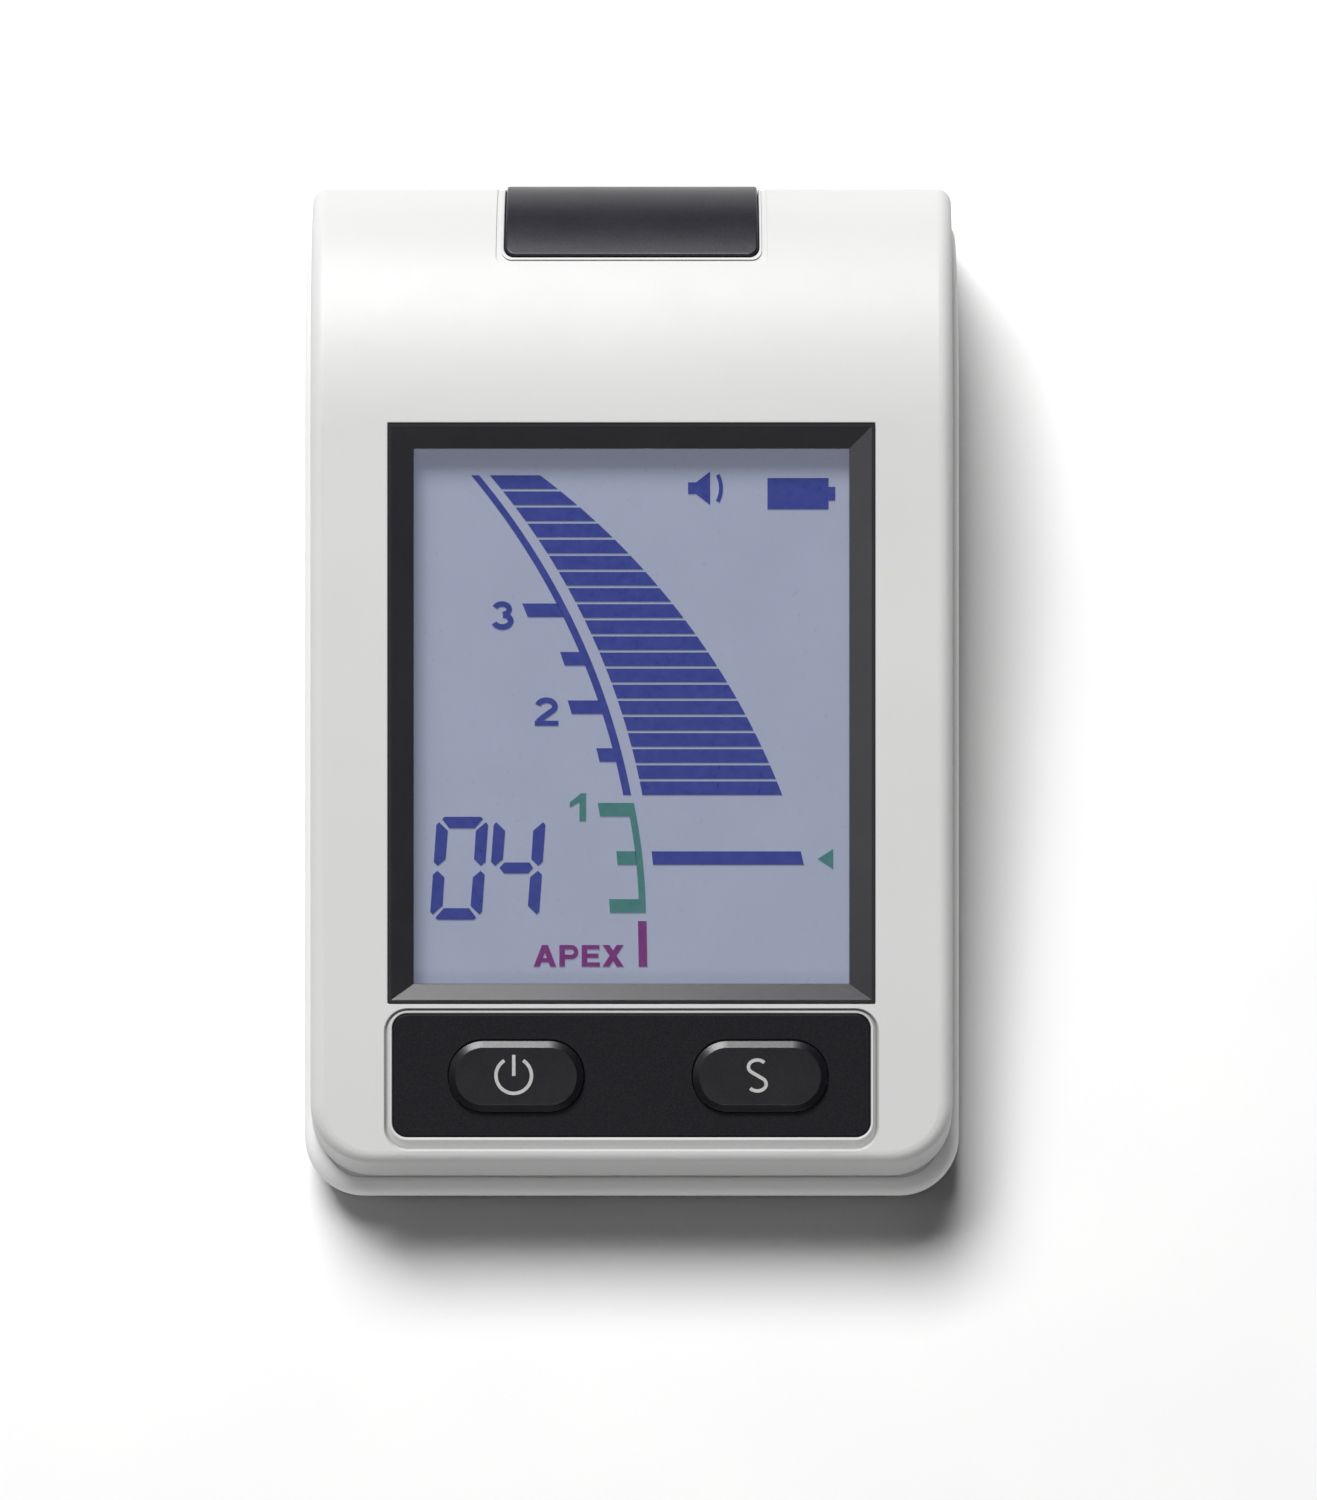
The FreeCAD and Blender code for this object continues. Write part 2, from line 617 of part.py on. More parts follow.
def lcd_holder():
    """The frame that carries panel and light guide on the board."""
    inner = LCD_HALF + SNUG
    outer = inner + HOLDER_WALL - 0.2
    frame = box((-outer, outer), (LCD_LOW - HOLDER_WALL + 0.2, LCD_HIGH + HOLDER_WALL - 0.2),
                (BOARD_TOP, WINDOW_LOW_FACE - 0.05))
    return frame.cut(box((-inner, inner), (LCD_LOW - SNUG, LCD_HIGH + SNUG), (-9, 9)))


# ---- Key panel, keys and their switches ----
def key_panel():
    """The dark plate round the keys, glued into its seat."""
    plate = rounded_plate((-PANEL_HALF, PANEL_HALF), (PANEL_LOW, PANEL_HIGH), (-PANEL_THICK, 0), PANEL_ROUND)
    top = [e for e in plate.Edges if all(abs(v.Z) < 1e-6 for v in e.Vertexes)]
    plate = plate.makeFillet(0.15, top)
    for x in (POWER_X, SET_X):
        plate = plate.cut(key_hole(x, -PANEL_THICK - 1, 1))
    return plate


def key(x):
    """A pill-shaped cap with a rounded edge, a flange that keeps it in, and a stem."""
    wide, drop = KEY_BEVEL
    shoulder = KEY_STAND - drop
    low = pill(x, KEY_S, KEY_HALF_LONG, KEY_HALF_WIDE, (FLANGE_TOP, shoulder))
    top = pill(x, KEY_S, KEY_HALF_LONG - wide, KEY_HALF_WIDE - wide, (shoulder, KEY_STAND))
    crown = Part.makeLoft([top_wire(low), top_wire(top)], True, True)
    cap = low.fuse(crown).removeSplitter()
    level = [e for e in cap.Edges if abs(e.Vertexes[0].Z - e.Vertexes[-1].Z) < 1e-6 and e.Vertexes[0].Z > 0]
    cap = cap.makeFillet(KEY_SOFT, level)
    flange = pill(x, KEY_S, KEY_HALF_LONG + KEY_FLANGE, KEY_HALF_WIDE + KEY_FLANGE,
                  (FLANGE_TOP - FLANGE_THICK, FLANGE_TOP))
    stem = rod(x, KEY_S, STEM_R, (STEM_END, FLANGE_TOP))
    return join(cap, flange, stem)


def key_switch(x):
    """A low push switch with a round hole for its plunger."""
    body = mid_box((x, KEY_S, BOARD_TOP + SWITCH_TALL / 2), (SWITCH_SIDE, SWITCH_SIDE, SWITCH_TALL))
    return body.cut(rod(x, KEY_S, PLUNGER_R + PLUNGER_PLAY, (SWITCH_TOP - 0.9, 0)))


def switch_plunger(x):
    return rod(x, KEY_S, PLUNGER_R, (SWITCH_TOP - 0.4, STEM_END))


# ---- Board ----
def main_board():
    board = rounded_plate((-BOARD_HALF, BOARD_HALF), (BOARD_LOW, BOARD_HIGH), (BOARD_UNDER, BOARD_TOP),
                          BOARD_CORNER)
    holes = both_sides(rod(*FRONT_SCREW, FRONT_BOSS_R + 0.3, (-9, 0)))
    board = board.cut(holes)
    for s in BOARD_SCREWS_S:
        board = board.cut(both_sides(rod(BOARD_SCREW_X, s, BOARD_SCREW_R + 0.15, (-9, 0))))
    return board


def under_board(x, s, sizes):
    """A block soldered to the underside of the board."""
    return mid_box((x, s, BOARD_UNDER - sizes[2] / 2), sizes)


def passives():
    """Small resistors and capacitors in two rows beside the chips."""
    row = [under_board(4.0 + 2.2 * i, 16.0, (1.0, 2.0, 0.6)) for i in range(7)]
    row += [under_board(4.0 + 2.6 * i, 38.0, (1.2, 2.0, 0.8)) for i in range(6)]
    return Part.makeCompound(row)


def buzzer():
    radius, deep = BUZZER_MOUTH
    face = BOARD_UNDER - BUZZER_TALL
    can = rod(BUZZER_X, BUZZER_S, BUZZER_R, (face, BOARD_UNDER))
    return can.cut(rod(BUZZER_X, BUZZER_S, radius, (face - 1, face + deep)))


# ---- Screws ----
def case_screws():
    """Four pan-head screws with a cross slot, up through the rear cover."""
    front = case_screw(FRONT_SCREW, FRONT_HEAD, FRONT_BOSS_FOOT + SCREW_BITE)
    back = case_screw(BACK_SCREW, BACK_HEAD, BACK_BOSS_FOOT + SCREW_BITE)
    return Part.makeCompound([both_sides(front), both_sides(back)])


def case_screw(place, head, tip):
    x, s = place
    bolt = join(rod(x, s, CASE_HEAD_R, (head - CASE_HEAD_TALL, head)), rod(x, s, CASE_SCREW_R, (head, tip)))
    long, wide, deep = SLOT
    for sizes in ((long, wide, deep), (wide, long, deep)):
        bolt = bolt.cut(mid_box((x, s, head - CASE_HEAD_TALL), sizes))
    return bolt


def board_screws():
    screws = []
    for s in BOARD_SCREWS_S:
        head = rod(BOARD_SCREW_X, s, BOARD_HEAD_R, (BOARD_UNDER - BOARD_HEAD_TALL, BOARD_UNDER))
        shank = rod(BOARD_SCREW_X, s, BOARD_SCREW_R, (BOARD_UNDER, BOARD_SCREW_TIP))
        screws.append(both_sides(join(head, shank)))
    return Part.makeCompound(screws)


# ---- Cells and their contacts, in the desk frame ----
def cell(index):
    """One AAA cell along x; the middle one is turned round."""
    turn = 1 if index % 2 else -1
    y = CELL_Y + (index - 2) * CELL_PITCH
    can = Part.makeCylinder(CELL_R, CELL_LONG - NUB_LONG, V(-turn * cell_back(), y, CELL_Z), V(turn, 0, 0))
    nub_start = -turn * cell_back() + turn * (CELL_LONG - NUB_LONG - 0.01)
    nub = Part.makeCylinder(NUB_R, NUB_LONG + 0.01, V(nub_start, y, CELL_Z), V(turn, 0, 0))
    return join(can, nub)


def cell_back():
    """How far a cell's flat end is from the middle plane."""
    return CELL_LONG - (BAY_HALF - PLATE_THICK)


def cell_plates():
    """Six flat contacts, one at each end of each cell."""
    plates = []
    for index in (1, 2, 3):
        y = CELL_Y + (index - 2) * CELL_PITCH
        x = BAY_HALF - PLATE_THICK / 2
        plates += [mid_box((side * x, y, CELL_Z), (PLATE_THICK, PLATE_SIDE, PLATE_SIDE)) for side in (-1, 1)]
    return Part.makeCompound(plates)


def cell_springs():
    """Three bent leaf springs that push on the cells' flat ends."""
    leaves = []
    for index in (1, 2, 3):
        turn = 1 if index % 2 else -1
        y = CELL_Y + (index - 2) * CELL_PITCH
        reach = BAY_HALF - PLATE_THICK - cell_back()
        foot, nose = SPRING_FOOT, SPRING_NOSE
        inside = foot - 0.4
        tip = reach - SPRING_THICK
        rise = [(0, -foot), (0.4, -foot), (reach, -nose), (reach, nose), (0.4, foot), (0, foot)]
        inner = [(0, inside), (0.25, inside), (tip, nose - 0.15), (tip, 0.15 - nose), (0.25, -inside),
                 (0, -inside)]
        start = -turn * (BAY_HALF - PLATE_THICK)
        points = [V(start + turn * a, y - SPRING_WIDE / 2, CELL_Z + b) for a, b in rise + inner]
        leaves.append(Part.Face(Part.makePolygon(points + points[:1])).extrude(V(0, SPRING_WIDE, 0)))
    return Part.makeCompound(leaves)


# ---- Door and feet, in the desk frame ----
def battery_door():
    """A flat door with a tongue along each side, thumb grooves, and recesses for the back feet."""
    front = BAY_FRONT - BAY_WALL - DOOR_OVERLAP + DOOR_GAP
    back = BACK_WALL - DOOR_END
    plate = box((-DOOR_HALF, DOOR_HALF), (front, back), (BASE, BASE + DOOR_THICK))
    low_back = [e for e in plate.Edges
                if all(abs(v.Z - BASE) < 1e-6 and abs(v.Y - back) < 1e-6 for v in e.Vertexes)]
    plate = plate.makeFillet(DOOR_ROUND, low_back)
    tongues = box((-DOOR_HALF - DOOR_TONGUE, DOOR_HALF + DOOR_TONGUE), (front, back - 5.0),
                  (BASE + TONGUE_LOW + DOOR_GAP, BASE + TONGUE_HIGH - DOOR_GAP))
    door = join(plate, tongues)
    for i in range(THUMB_GROOVES):
        y = front + THUMB_START + THUMB_PITCH * i
        door = door.cut(mid_box((0, y, BASE), THUMB_GROOVE))
    return door.cut(both_sides(rod(*BACK_FOOT, FOOT_R + SNUG / 2, (0, BASE + FOOT_SET)))).removeSplitter()


def feet(place):
    """A pair of rubber feet with a rounded sole."""
    foot = rod(*place, FOOT_R, (0, BASE + FOOT_SET))
    sole = [e for e in foot.Edges if all(abs(v.Z) < 1e-6 for v in e.Vertexes)]
    return both_sides(foot.makeFillet(0.3, sole))


# ---- Socket block and jack ----
def socket_block():
    """The dark block that wraps over the back edge; a flange behind the skin holds it."""
    plug = under_skin(-BLOCK_STAND).cut(under_skin(SKIN + 0.3)).common(block_prism(BLOCK_HALF, BLOCK_LOW))
    wide = block_prism(BLOCK_HALF + BLOCK_FLANGE, BLOCK_LOW - BLOCK_FLANGE)
    flange = under_skin(SKIN + 0.1).cut(under_skin(SKIN + 1.1)).common(wide)
    plug = round_edges(plug, under_skin(-BLOCK_STAND), BLOCK_EDGE)
    block = to_desk(join(plug, flange))
    hole = Part.makeCylinder(JACK_COLLAR_R + 0.05, 20, V(0, BACK_WALL - 10, BASE + JACK_Z), V(0, 1, 0))
    return block.cut(hole).removeSplitter()


def probe_jack():
    """The jack's body, with a collar that fills the block's hole and a blind bore for the probe's plug."""
    face = BACK_WALL - SKIN - JACK_BACK
    middle = BASE + JACK_Z
    body = box((-JACK_HALF, JACK_HALF), (JACK_FRONT, face), (middle - JACK_TALL, middle + JACK_TALL))
    axis = V(0, 1, 0)
    collar = Part.makeCylinder(JACK_COLLAR_R, BACK_WALL + 0.1 - face, V(0, face, BASE + JACK_Z), axis)
    bore = Part.makeCylinder(JACK_R, 40, V(0, JACK_FRONT + BORE_START, BASE + JACK_Z), axis)
    return join(body, collar).cut(bore)


def jack_pins():
    """Four solder pins on the jack's body."""
    z = BASE + JACK_Z + JACK_TALL + PIN[2] / 2
    pins = [mid_box((x, y, z), PIN) for x in (-PIN_X, PIN_X) for y in PIN_Y]
    return Part.makeCompound(pins)


def jack_ribbon():
    """The thin ribbon from the jack's pins to the board."""
    low = BASE + JACK_Z + JACK_TALL + PIN[2]
    board_end = to_desk(Part.Vertex(V(0, BOARD_HIGH - 2.0, BOARD_UNDER))).Point
    path = [(89.0, low), (82.0, low), (79.0, low + 2.6), (board_end.y + 2.0, board_end.z - 1.2),
            (board_end.y - 0.5, board_end.z - 0.35)]
    under = [V(-RIBBON_HALF, y, z) for y, z in path]
    points = under + [p + V(0, 0, RIBBON_THICK) for p in reversed(under)]
    return Part.Face(Part.makePolygon(points + points[:1])).extrude(V(2 * RIBBON_HALF, 0, 0))


# ---- All pieces ----
def pieces():
    tilted = {
        "display_bezel": display_bezel(),
        "display_window": display_window(),
        "window_gasket": window_gasket(),
        "lcd_panel": lcd_panel(),
        "light_guide": light_guide(),
        "backlight_leds": backlight_leds(),
        "contact_strips": contact_strips(),
        "lcd_holder": lcd_holder(),
        "key_panel": key_panel(),
        "power_key": key(POWER_X),
        "set_key": key(SET_X),
        "power_switch": key_switch(POWER_X),
        "set_switch": key_switch(SET_X),
        "power_switch_plunger": switch_plunger(POWER_X),
        "set_switch_plunger": switch_plunger(SET_X),
        "main_board": main_board(),
        "controller_chip": under_board(6.0, 27.0, (10.0, 10.0, 1.2)),
        "measuring_chip": under_board(17.0, 27.0, (6.0, 5.0, 1.2)),
        "clock_crystal": under_board(-2.0, 36.0, (5.0, 2.0, 1.4)),
        "board_passives": passives(),
        "buzzer": buzzer(),
        "case_screws": case_screws(),
        "board_screws": board_screws(),
    }
    level = {
        "front_cover": front_cover(),
        "rear_cover": rear_cover(),
        "cell_plates": cell_plates(),
        "cell_springs": cell_springs(),
        "battery_door": battery_door(),
        "front_feet": feet(FRONT_FOOT),
        "back_feet": feet(BACK_FOOT),
        "socket_block": socket_block(),
        "probe_jack": probe_jack(),
        "jack_pins": jack_pins(),
        "jack_ribbon": jack_ribbon(),
    }
    for index in (1, 2, 3):
        level[f"battery_cell_{index}"] = cell(index)
    level.update({name: to_desk(shape) for name, shape in tilted.items()})
    return level


os.makedirs("parts", exist_ok=True)
for name, shape in pieces().items():
    shape.translate(V(0, -MIDDLE, 0))
    shape.exportStep(f"parts/{name}.step")
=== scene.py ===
import json
import math

import bmesh
import bpy
from mathutils import Matrix, Vector


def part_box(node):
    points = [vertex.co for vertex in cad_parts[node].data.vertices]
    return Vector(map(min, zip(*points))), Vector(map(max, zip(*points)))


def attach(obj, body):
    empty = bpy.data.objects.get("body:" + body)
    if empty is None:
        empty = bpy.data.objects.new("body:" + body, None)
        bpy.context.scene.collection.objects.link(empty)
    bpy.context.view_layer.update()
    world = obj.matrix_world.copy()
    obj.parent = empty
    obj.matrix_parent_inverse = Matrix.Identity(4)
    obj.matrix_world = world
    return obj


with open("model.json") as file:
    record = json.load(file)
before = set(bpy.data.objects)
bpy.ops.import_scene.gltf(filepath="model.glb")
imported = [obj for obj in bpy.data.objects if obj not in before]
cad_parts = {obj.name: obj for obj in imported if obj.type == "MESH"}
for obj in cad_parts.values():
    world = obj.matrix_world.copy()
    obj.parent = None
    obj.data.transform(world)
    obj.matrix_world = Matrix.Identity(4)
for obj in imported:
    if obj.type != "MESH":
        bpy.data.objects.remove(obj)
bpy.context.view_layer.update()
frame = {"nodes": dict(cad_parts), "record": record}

# The bench: the locator lies on a matt white board, under a wide soft lamp behind it and to its left.
# The display leans back and the lens stands square to it, so every place on the display is given
# across it, up it from the frame's lower edge, and out of its face.
MM = 0.001
ACROSS = Vector((1, 0, 0))
key_press = next(j for j in frame["record"]["behaviour"]["joints"] if j["name"] == "power_key_press")
OUT = -Vector(key_press["axis"]).normalized()
UP = OUT.cross(ACROSS)


def reach(node, way):
    """How far a part goes along a direction: its lowest and its highest."""
    places = [way.dot(corner.co) for corner in frame["nodes"][node].data.vertices]
    return min(places), max(places)


FACE = reach("key_panel", OUT)[1]
FRAME_LOW = reach("display_bezel", UP)[0]


def on_display(across, up, out=0.0):
    """A place on the display, in millimetres."""
    return ACROSS * across * MM + UP * (FRAME_LOW + up * MM) + OUT * (FACE + out * MM)


def new_finish(name, colour, roughness, **more):
    """A finish to build on: its shader with one colour and roughness."""
    finish = bpy.data.materials.new(name)
    finish.use_nodes = True
    shader = finish.node_tree.nodes["Principled BSDF"]
    more.update({"Base Color": colour, "Roughness": roughness})
    for socket, value in more.items():
        shader.inputs[socket.replace("_", " ")].default_value = value
    return finish, finish.node_tree, shader


def wire(tree, kind, outlet=0, settings=None, **inputs):
    """Adds a node with its inputs set or linked by name, and gives back one outlet."""
    made = tree.nodes.new("ShaderNode" + kind)
    for key, value in (settings or {}).items():
        setattr(made, key, value)
    for key, value in inputs.items():
        socket = made.inputs[key.replace("_", " ")]
        if isinstance(value, bpy.types.NodeSocket):
            tree.links.new(value, socket)
        else:
            socket.default_value = value
    return made.outputs[outlet]


def grain(tree, size, detail=2.0, stretch=(1, 1, 1), seed=0.0):
    """Fine random grain of about this size in metres, longer where stretch is below one."""
    place = wire(tree, "TexCoord", "Object")
    shifted = wire(tree, "Mapping", Vector=place, Scale=stretch, Location=(seed, seed, seed))
    return wire(tree, "TexNoise", Vector=shifted, Scale=1 / size, Detail=detail)


def steps(tree, factor, *stops):
    """A colour or shade that changes along the factor: stops of place and colour."""
    outlet = wire(tree, "ValToRGB", Fac=factor)
    ramp = outlet.node.color_ramp
    ramp.elements[0].position, ramp.elements[1].position = stops[0][0], stops[-1][0]
    for place, _ in stops[1:-1]:
        ramp.elements.new(place)
    for element, (_, colour) in zip(ramp.elements, stops):
        element.color = colour if hasattr(colour, "__len__") else (colour, colour, colour, 1)
    return outlet


BOARD_SIZE = 1.6
BOARD_SHADE = 0.95
board_mesh = bmesh.new()
bmesh.ops.create_grid(board_mesh, x_segments=8, y_segments=8, size=BOARD_SIZE / 2)
board_data = bpy.data.meshes.new("bench_board")
board_mesh.to_mesh(board_data)
board_mesh.free()
bench_board = bpy.data.objects.new("bench_board", board_data)
bpy.context.scene.collection.objects.link(bench_board)
board_plain = (BOARD_SHADE, BOARD_SHADE, BOARD_SHADE, 1)
board_white, board_tree, board_shader = new_finish("matt white board", board_plain, 0.8)
board_dull, board_clean = (0.94, 0.94, 0.94, 1), (0.96, 0.96, 0.955, 1)
board_tint = steps(board_tree, grain(board_tree, 0.02), (0.3, board_dull), (0.7, board_clean))
board_tree.links.new(board_tint, board_shader.inputs["Base Color"])
board_data.materials.append(board_white)

LENS_AWAY = 0.5
LENS_LENGTH = 133
AIM = (2.44, 22.8)      # the place on the display that the lens looks at
lens_data = bpy.data.cameras.new("bench_lens")
lens_data.lens = LENS_LENGTH
lens_data.clip_start = 0.05
bench_lens = bpy.data.objects.new("bench_lens", lens_data)
bench_lens.matrix_world = Matrix.Translation(on_display(*AIM) + OUT * LENS_AWAY) @ (
    Matrix((ACROSS, UP, OUT)).transposed().to_4x4()
)
bpy.context.scene.collection.objects.link(bench_lens)
bpy.context.scene.camera = bench_lens


def soft_lamp(name, place, width, height, power):
    """A flat soft lamp at a place in metres, aimed at the middle of the locator."""
    lamp = bpy.data.lights.new(name, "AREA")
    lamp.shape = "RECTANGLE"
    lamp.size, lamp.size_y, lamp.energy = width, height, power
    holder = bpy.data.objects.new(name, lamp)
    spot = Vector(place)
    holder.matrix_world = Matrix.Translation(spot) @ (spot.to_track_quat("Z", "Y").to_matrix().to_4x4())
    bpy.context.scene.collection.objects.link(holder)
    return holder


def shade_board_from(lamp):
    """Keeps a lamp's light off the bench board."""
    kept_off = bpy.data.collections.new(lamp.name + "_kept_off")
    kept_off.objects.link(bench_board)
    kept_off.collection_objects[0].light_linking.link_state = "EXCLUDE"
    lamp.light_linking.receiver_collection = kept_off


# The main lamp gives the roll-over its sheen; the one at the left lights the frame's right bevel.
# The two in front only lift the near end and the seam, and leave the board's shade dark.
soft_lamp("main_lamp", (-0.261, 0.718, 1.052), 0.64, 0.54, 23.2)
soft_lamp("left_lamp", (-0.614, 0.0, 0.658), 0.4, 0.3, 0.4)
shade_board_from(soft_lamp("low_fill", (0.0, -0.89, 0.05), 0.5, 0.1, 0.4))
shade_board_from(soft_lamp("front_fill", (0.0, -0.49, 0.755), 0.4, 0.2, 1.3))
room = bpy.data.worlds.new("bench_room")
bpy.context.scene.world = room
room.use_nodes = True
ROOM_GLOW = 0.01
room_tree = room.node_tree
room_light = room_tree.nodes["Background"]
room_light.inputs["Color"].default_value = (1, 1, 1, 1)
room_light.inputs["Strength"].default_value = ROOM_GLOW
room_pick = room_tree.nodes.new("ShaderNodeMixShader")
room_tree.links.new(wire(room_tree, "LightPath", "Is Camera Ray"), room_pick.inputs["Fac"])
room_tree.links.new(room_light.outputs["Background"], room_pick.inputs[1])
room_tree.links.new(wire(room_tree, "Background"), room_pick.inputs[2])
room_tree.links.new(room_pick.outputs["Shader"], room_tree.nodes["World Output"].inputs["Surface"])
bpy.context.scene.view_settings.view_transform = "Standard"


# The casing: two moulded covers in white ABS, polished on the outside, that meet in a stepped seam.
# The rear cover and the battery door get a whiter shade than the front, painted light that lifts the
# rear flange out of its shade. Handling leaves the gloss and tone slightly uneven, and painted shade
# darkens the grooves and seams.
# The rear white is lighter than the front white as painted light: it lifts the rear cover's flange, which
# lies in shade.
FRONT_WHITE, REAR_WHITE = 0.59, 0.78


def dimple(tree, shader, height, depth):
    """Presses a fine relief, this deep in metres, into the finish."""
    relief = wire(tree, "Bump", Height=height, Distance=depth, Strength=1.0)
    tree.links.new(relief, shader.inputs["Normal"])


def finish_node(node, finish):
    """Gives a part from the CAD its finish."""
    for place in frame["nodes"][node].material_slots:
        place.material = finish


def white_abs(name, shade, seed):
    """White plastic of one batch; the seed sets where its patches lie."""
    finish, tree, shader = new_finish(name, (shade, shade, shade, 1), 0.42, Specular_IOR_Level=0.32)
    cool, warm = [(shade + lift, shade + lift, shade + lift - 0.004, 1) for lift in (-0.01, 0.01)]
    clean = steps(tree, grain(tree, 0.018, 3, seed=seed), (0.3, cool), (0.7, warm))
    # Painted shade: ambient occlusion darkens the colour in grooves, seams and beside walls, down to under
    # half.
    open_air = wire(tree, "AmbientOcclusion", "AO", {"samples": 6}, Distance=0.0009)
    painted_groove_shade = steps(tree, open_air, (0.3, (0.45, 0.45, 0.45, 1)), (0.68, (1, 1, 1, 1)))
    tone = wire(tree, "MixRGB", settings={"blend_type": "MULTIPLY"}, Fac=1.0, Color1=clean, Color2=painted_groove_shade)
    tree.links.new(tone, shader.inputs["Base Color"])
    gloss = steps(tree, grain(tree, 0.004, 5, seed=seed + 3), (0.25, 0.4), (0.75, 0.44))
    tree.links.new(gloss, shader.inputs["Roughness"])
    dimple(tree, shader, grain(tree, 0.00025, 3, seed=seed), 0.0000012)
    return finish


finish_node("front_cover", white_abs("polished white ABS", FRONT_WHITE, 1.0))
finish_node("rear_cover", white_abs("polished white ABS, rear", REAR_WHITE, 5.0))
finish_node("battery_door", white_abs("polished white ABS, door", REAR_WHITE, 9.0))


# The display frame: a bevelled surround moulded in black gloss plastic and pressed into its seat in
# the front cover. Its four bevels meet in mitres, and wiping has dulled them very slightly.
def black_gloss():
    finish, tree, shader = new_finish("black gloss", (0.025, 0.024, 0.028, 1), 0.24)
    deep, pale = (0.023, 0.022, 0.026, 1), (0.028, 0.027, 0.031, 1)
    tone = steps(tree, grain(tree, 0.006, 3), (0.3, deep), (0.7, pale))
    tree.links.new(tone, shader.inputs["Base Color"])
    gloss = steps(tree, grain(tree, 0.0003, 3, stretch=(0.3, 1, 1)), (0.3, 0.22), (0.7, 0.26))
    tree.links.new(gloss, shader.inputs["Roughness"])
    dimple(tree, shader, grain(tree, 0.0004, 2), 0.0000005)
    return finish


finish_node("display_bezel", black_gloss())


# The window: a sheet of clear acrylic behind the frame, on a thin black foam gasket. It lets light
# straight through to the glass below, and shines the more, the flatter it is looked along.
def clear_acrylic():
    finish, tree, shader = new_finish("clear acrylic", (0.9, 0.92, 0.93, 1), 0.03, IOR=1.49, Metallic=1.0)
    haze = steps(tree, grain(tree, 0.003, 4), (0.35, 0.02), (0.8, 0.06))
    tree.links.new(haze, shader.inputs["Roughness"])
    pane = tree.nodes.new("ShaderNodeMixShader")
    clear = wire(tree, "BsdfTransparent", Color=(0.97, 0.98, 0.985, 1))
    lean = wire(tree, "LayerWeight", "Facing")
    shine = steps(tree, lean, (0.0, 0.04), (0.5, 0.07), (0.8, 0.3), (1.0, 1.0))
    tree.links.new(shine, pane.inputs["Fac"])
    tree.links.new(clear, pane.inputs[1])
    tree.links.new(shader.outputs["BSDF"], pane.inputs[2])
    tree.links.new(pane.outputs["Shader"], tree.nodes["Material Output"].inputs["Surface"])
    return finish


def black_foam():
    finish, tree, shader = new_finish("black foam", (0.03, 0.03, 0.03, 1), 0.9)
    cells = wire(tree, "TexVoronoi", Vector=wire(tree, "TexCoord", "Object"), Scale=4500.0)
    tree.links.new(steps(tree, cells, (0.1, 0.012), (0.7, 0.045)), shader.inputs["Base Color"])
    dimple(tree, shader, cells, 0.00004)
    return finish


finish_node("display_window", clear_acrylic())
finish_node("window_gasket", black_foam())


# The liquid crystal glass: a grey-blue panel, faintly mottled by its polariser. It is lit softly
# from behind by its guide, so the shade of the frame falls only weakly on it.
def straight_colour(red, green, blue):
    """The shader's colour for one read from a colour card, 0 to 255."""
    shares = [part / 255 for part in (red, green, blue)]
    return [s / 12.92 if s <= 0.04045 else ((s + 0.055) / 1.055) ** 2.4 for s in shares] + [1.0]


BACKLIGHT = 0.45


def crystal_glass():
    base = straight_colour(130, 133, 149)
    backlight = {"Emission Color": straight_colour(150, 156, 176), "Emission Strength": BACKLIGHT}
    finish, tree, shader = new_finish("liquid crystal glass", base, 0.3, **backlight)
    pale = straight_colour(132, 135, 151)
    deep = straight_colour(128, 131, 147)
    tone = steps(tree, grain(tree, 0.008, 4), (0.3, deep), (0.7, pale))
    tree.links.new(tone, shader.inputs["Base Color"])
    gloss = steps(tree, grain(tree, 0.0005, 3), (0.3, 0.27), (0.7, 0.34))
    tree.links.new(gloss, shader.inputs["Roughness"])
    dimple(tree, shader, grain(tree, 0.00012, 2), 0.0000006)
    return finish


finish_node("lcd_panel", crystal_glass())

# What the display shows: segments of dyed crystal in blue, green and magenta. Each is a thin flat
# layer on the glass that casts a faint shade. Shapes that cross stand a hair apart in height.
GLASS_TOP = (reach("lcd_panel", OUT)[1] - FACE) / MM
LAYER = 0.1
APART = 0.002
HEIGHTS = 7
DYED_BACKLIGHT = 0.35


def dye(name, colour):
    """A dyed segment: a little light from the guide behind comes through it."""
    backlight = {"Emission Color": straight_colour(*colour), "Emission Strength": DYED_BACKLIGHT}
    finish, tree, shader = new_finish(name, straight_colour(*colour), 0.3, **backlight)
    patchy = grain(tree, 0.0007, 3)
    low, high = [straight_colour(*[part + shift for part in colour]) for shift in (-3, 3)]
    tree.links.new(steps(tree, patchy, (0.3, low), (0.7, high)), shader.inputs["Base Color"])
    tree.links.new(steps(tree, patchy, (0.3, 0.27), (0.7, 0.35)), shader.inputs["Roughness"])
    dimple(tree, shader, grain(tree, 0.0001, 2), 0.0000006)
    return finish


blue_dye = dye("blue dye", (50, 58, 121))
green_dye = dye("green dye", (62, 106, 103))
magenta_dye = dye("magenta dye", (102, 43, 101))


def finish_piece(name, mesh, finish, body):
    """Makes a finished mesh a piece of the object: linked, painted and riding on its body."""
    data = bpy.data.meshes.new(name)
    bmesh.ops.recalc_face_normals(mesh, faces=mesh.faces)
    mesh.to_mesh(data)
    mesh.free()
    data.materials.append(finish)
    piece = bpy.data.objects.new(name, data)
    bpy.context.scene.collection.objects.link(piece)
    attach(piece, body)


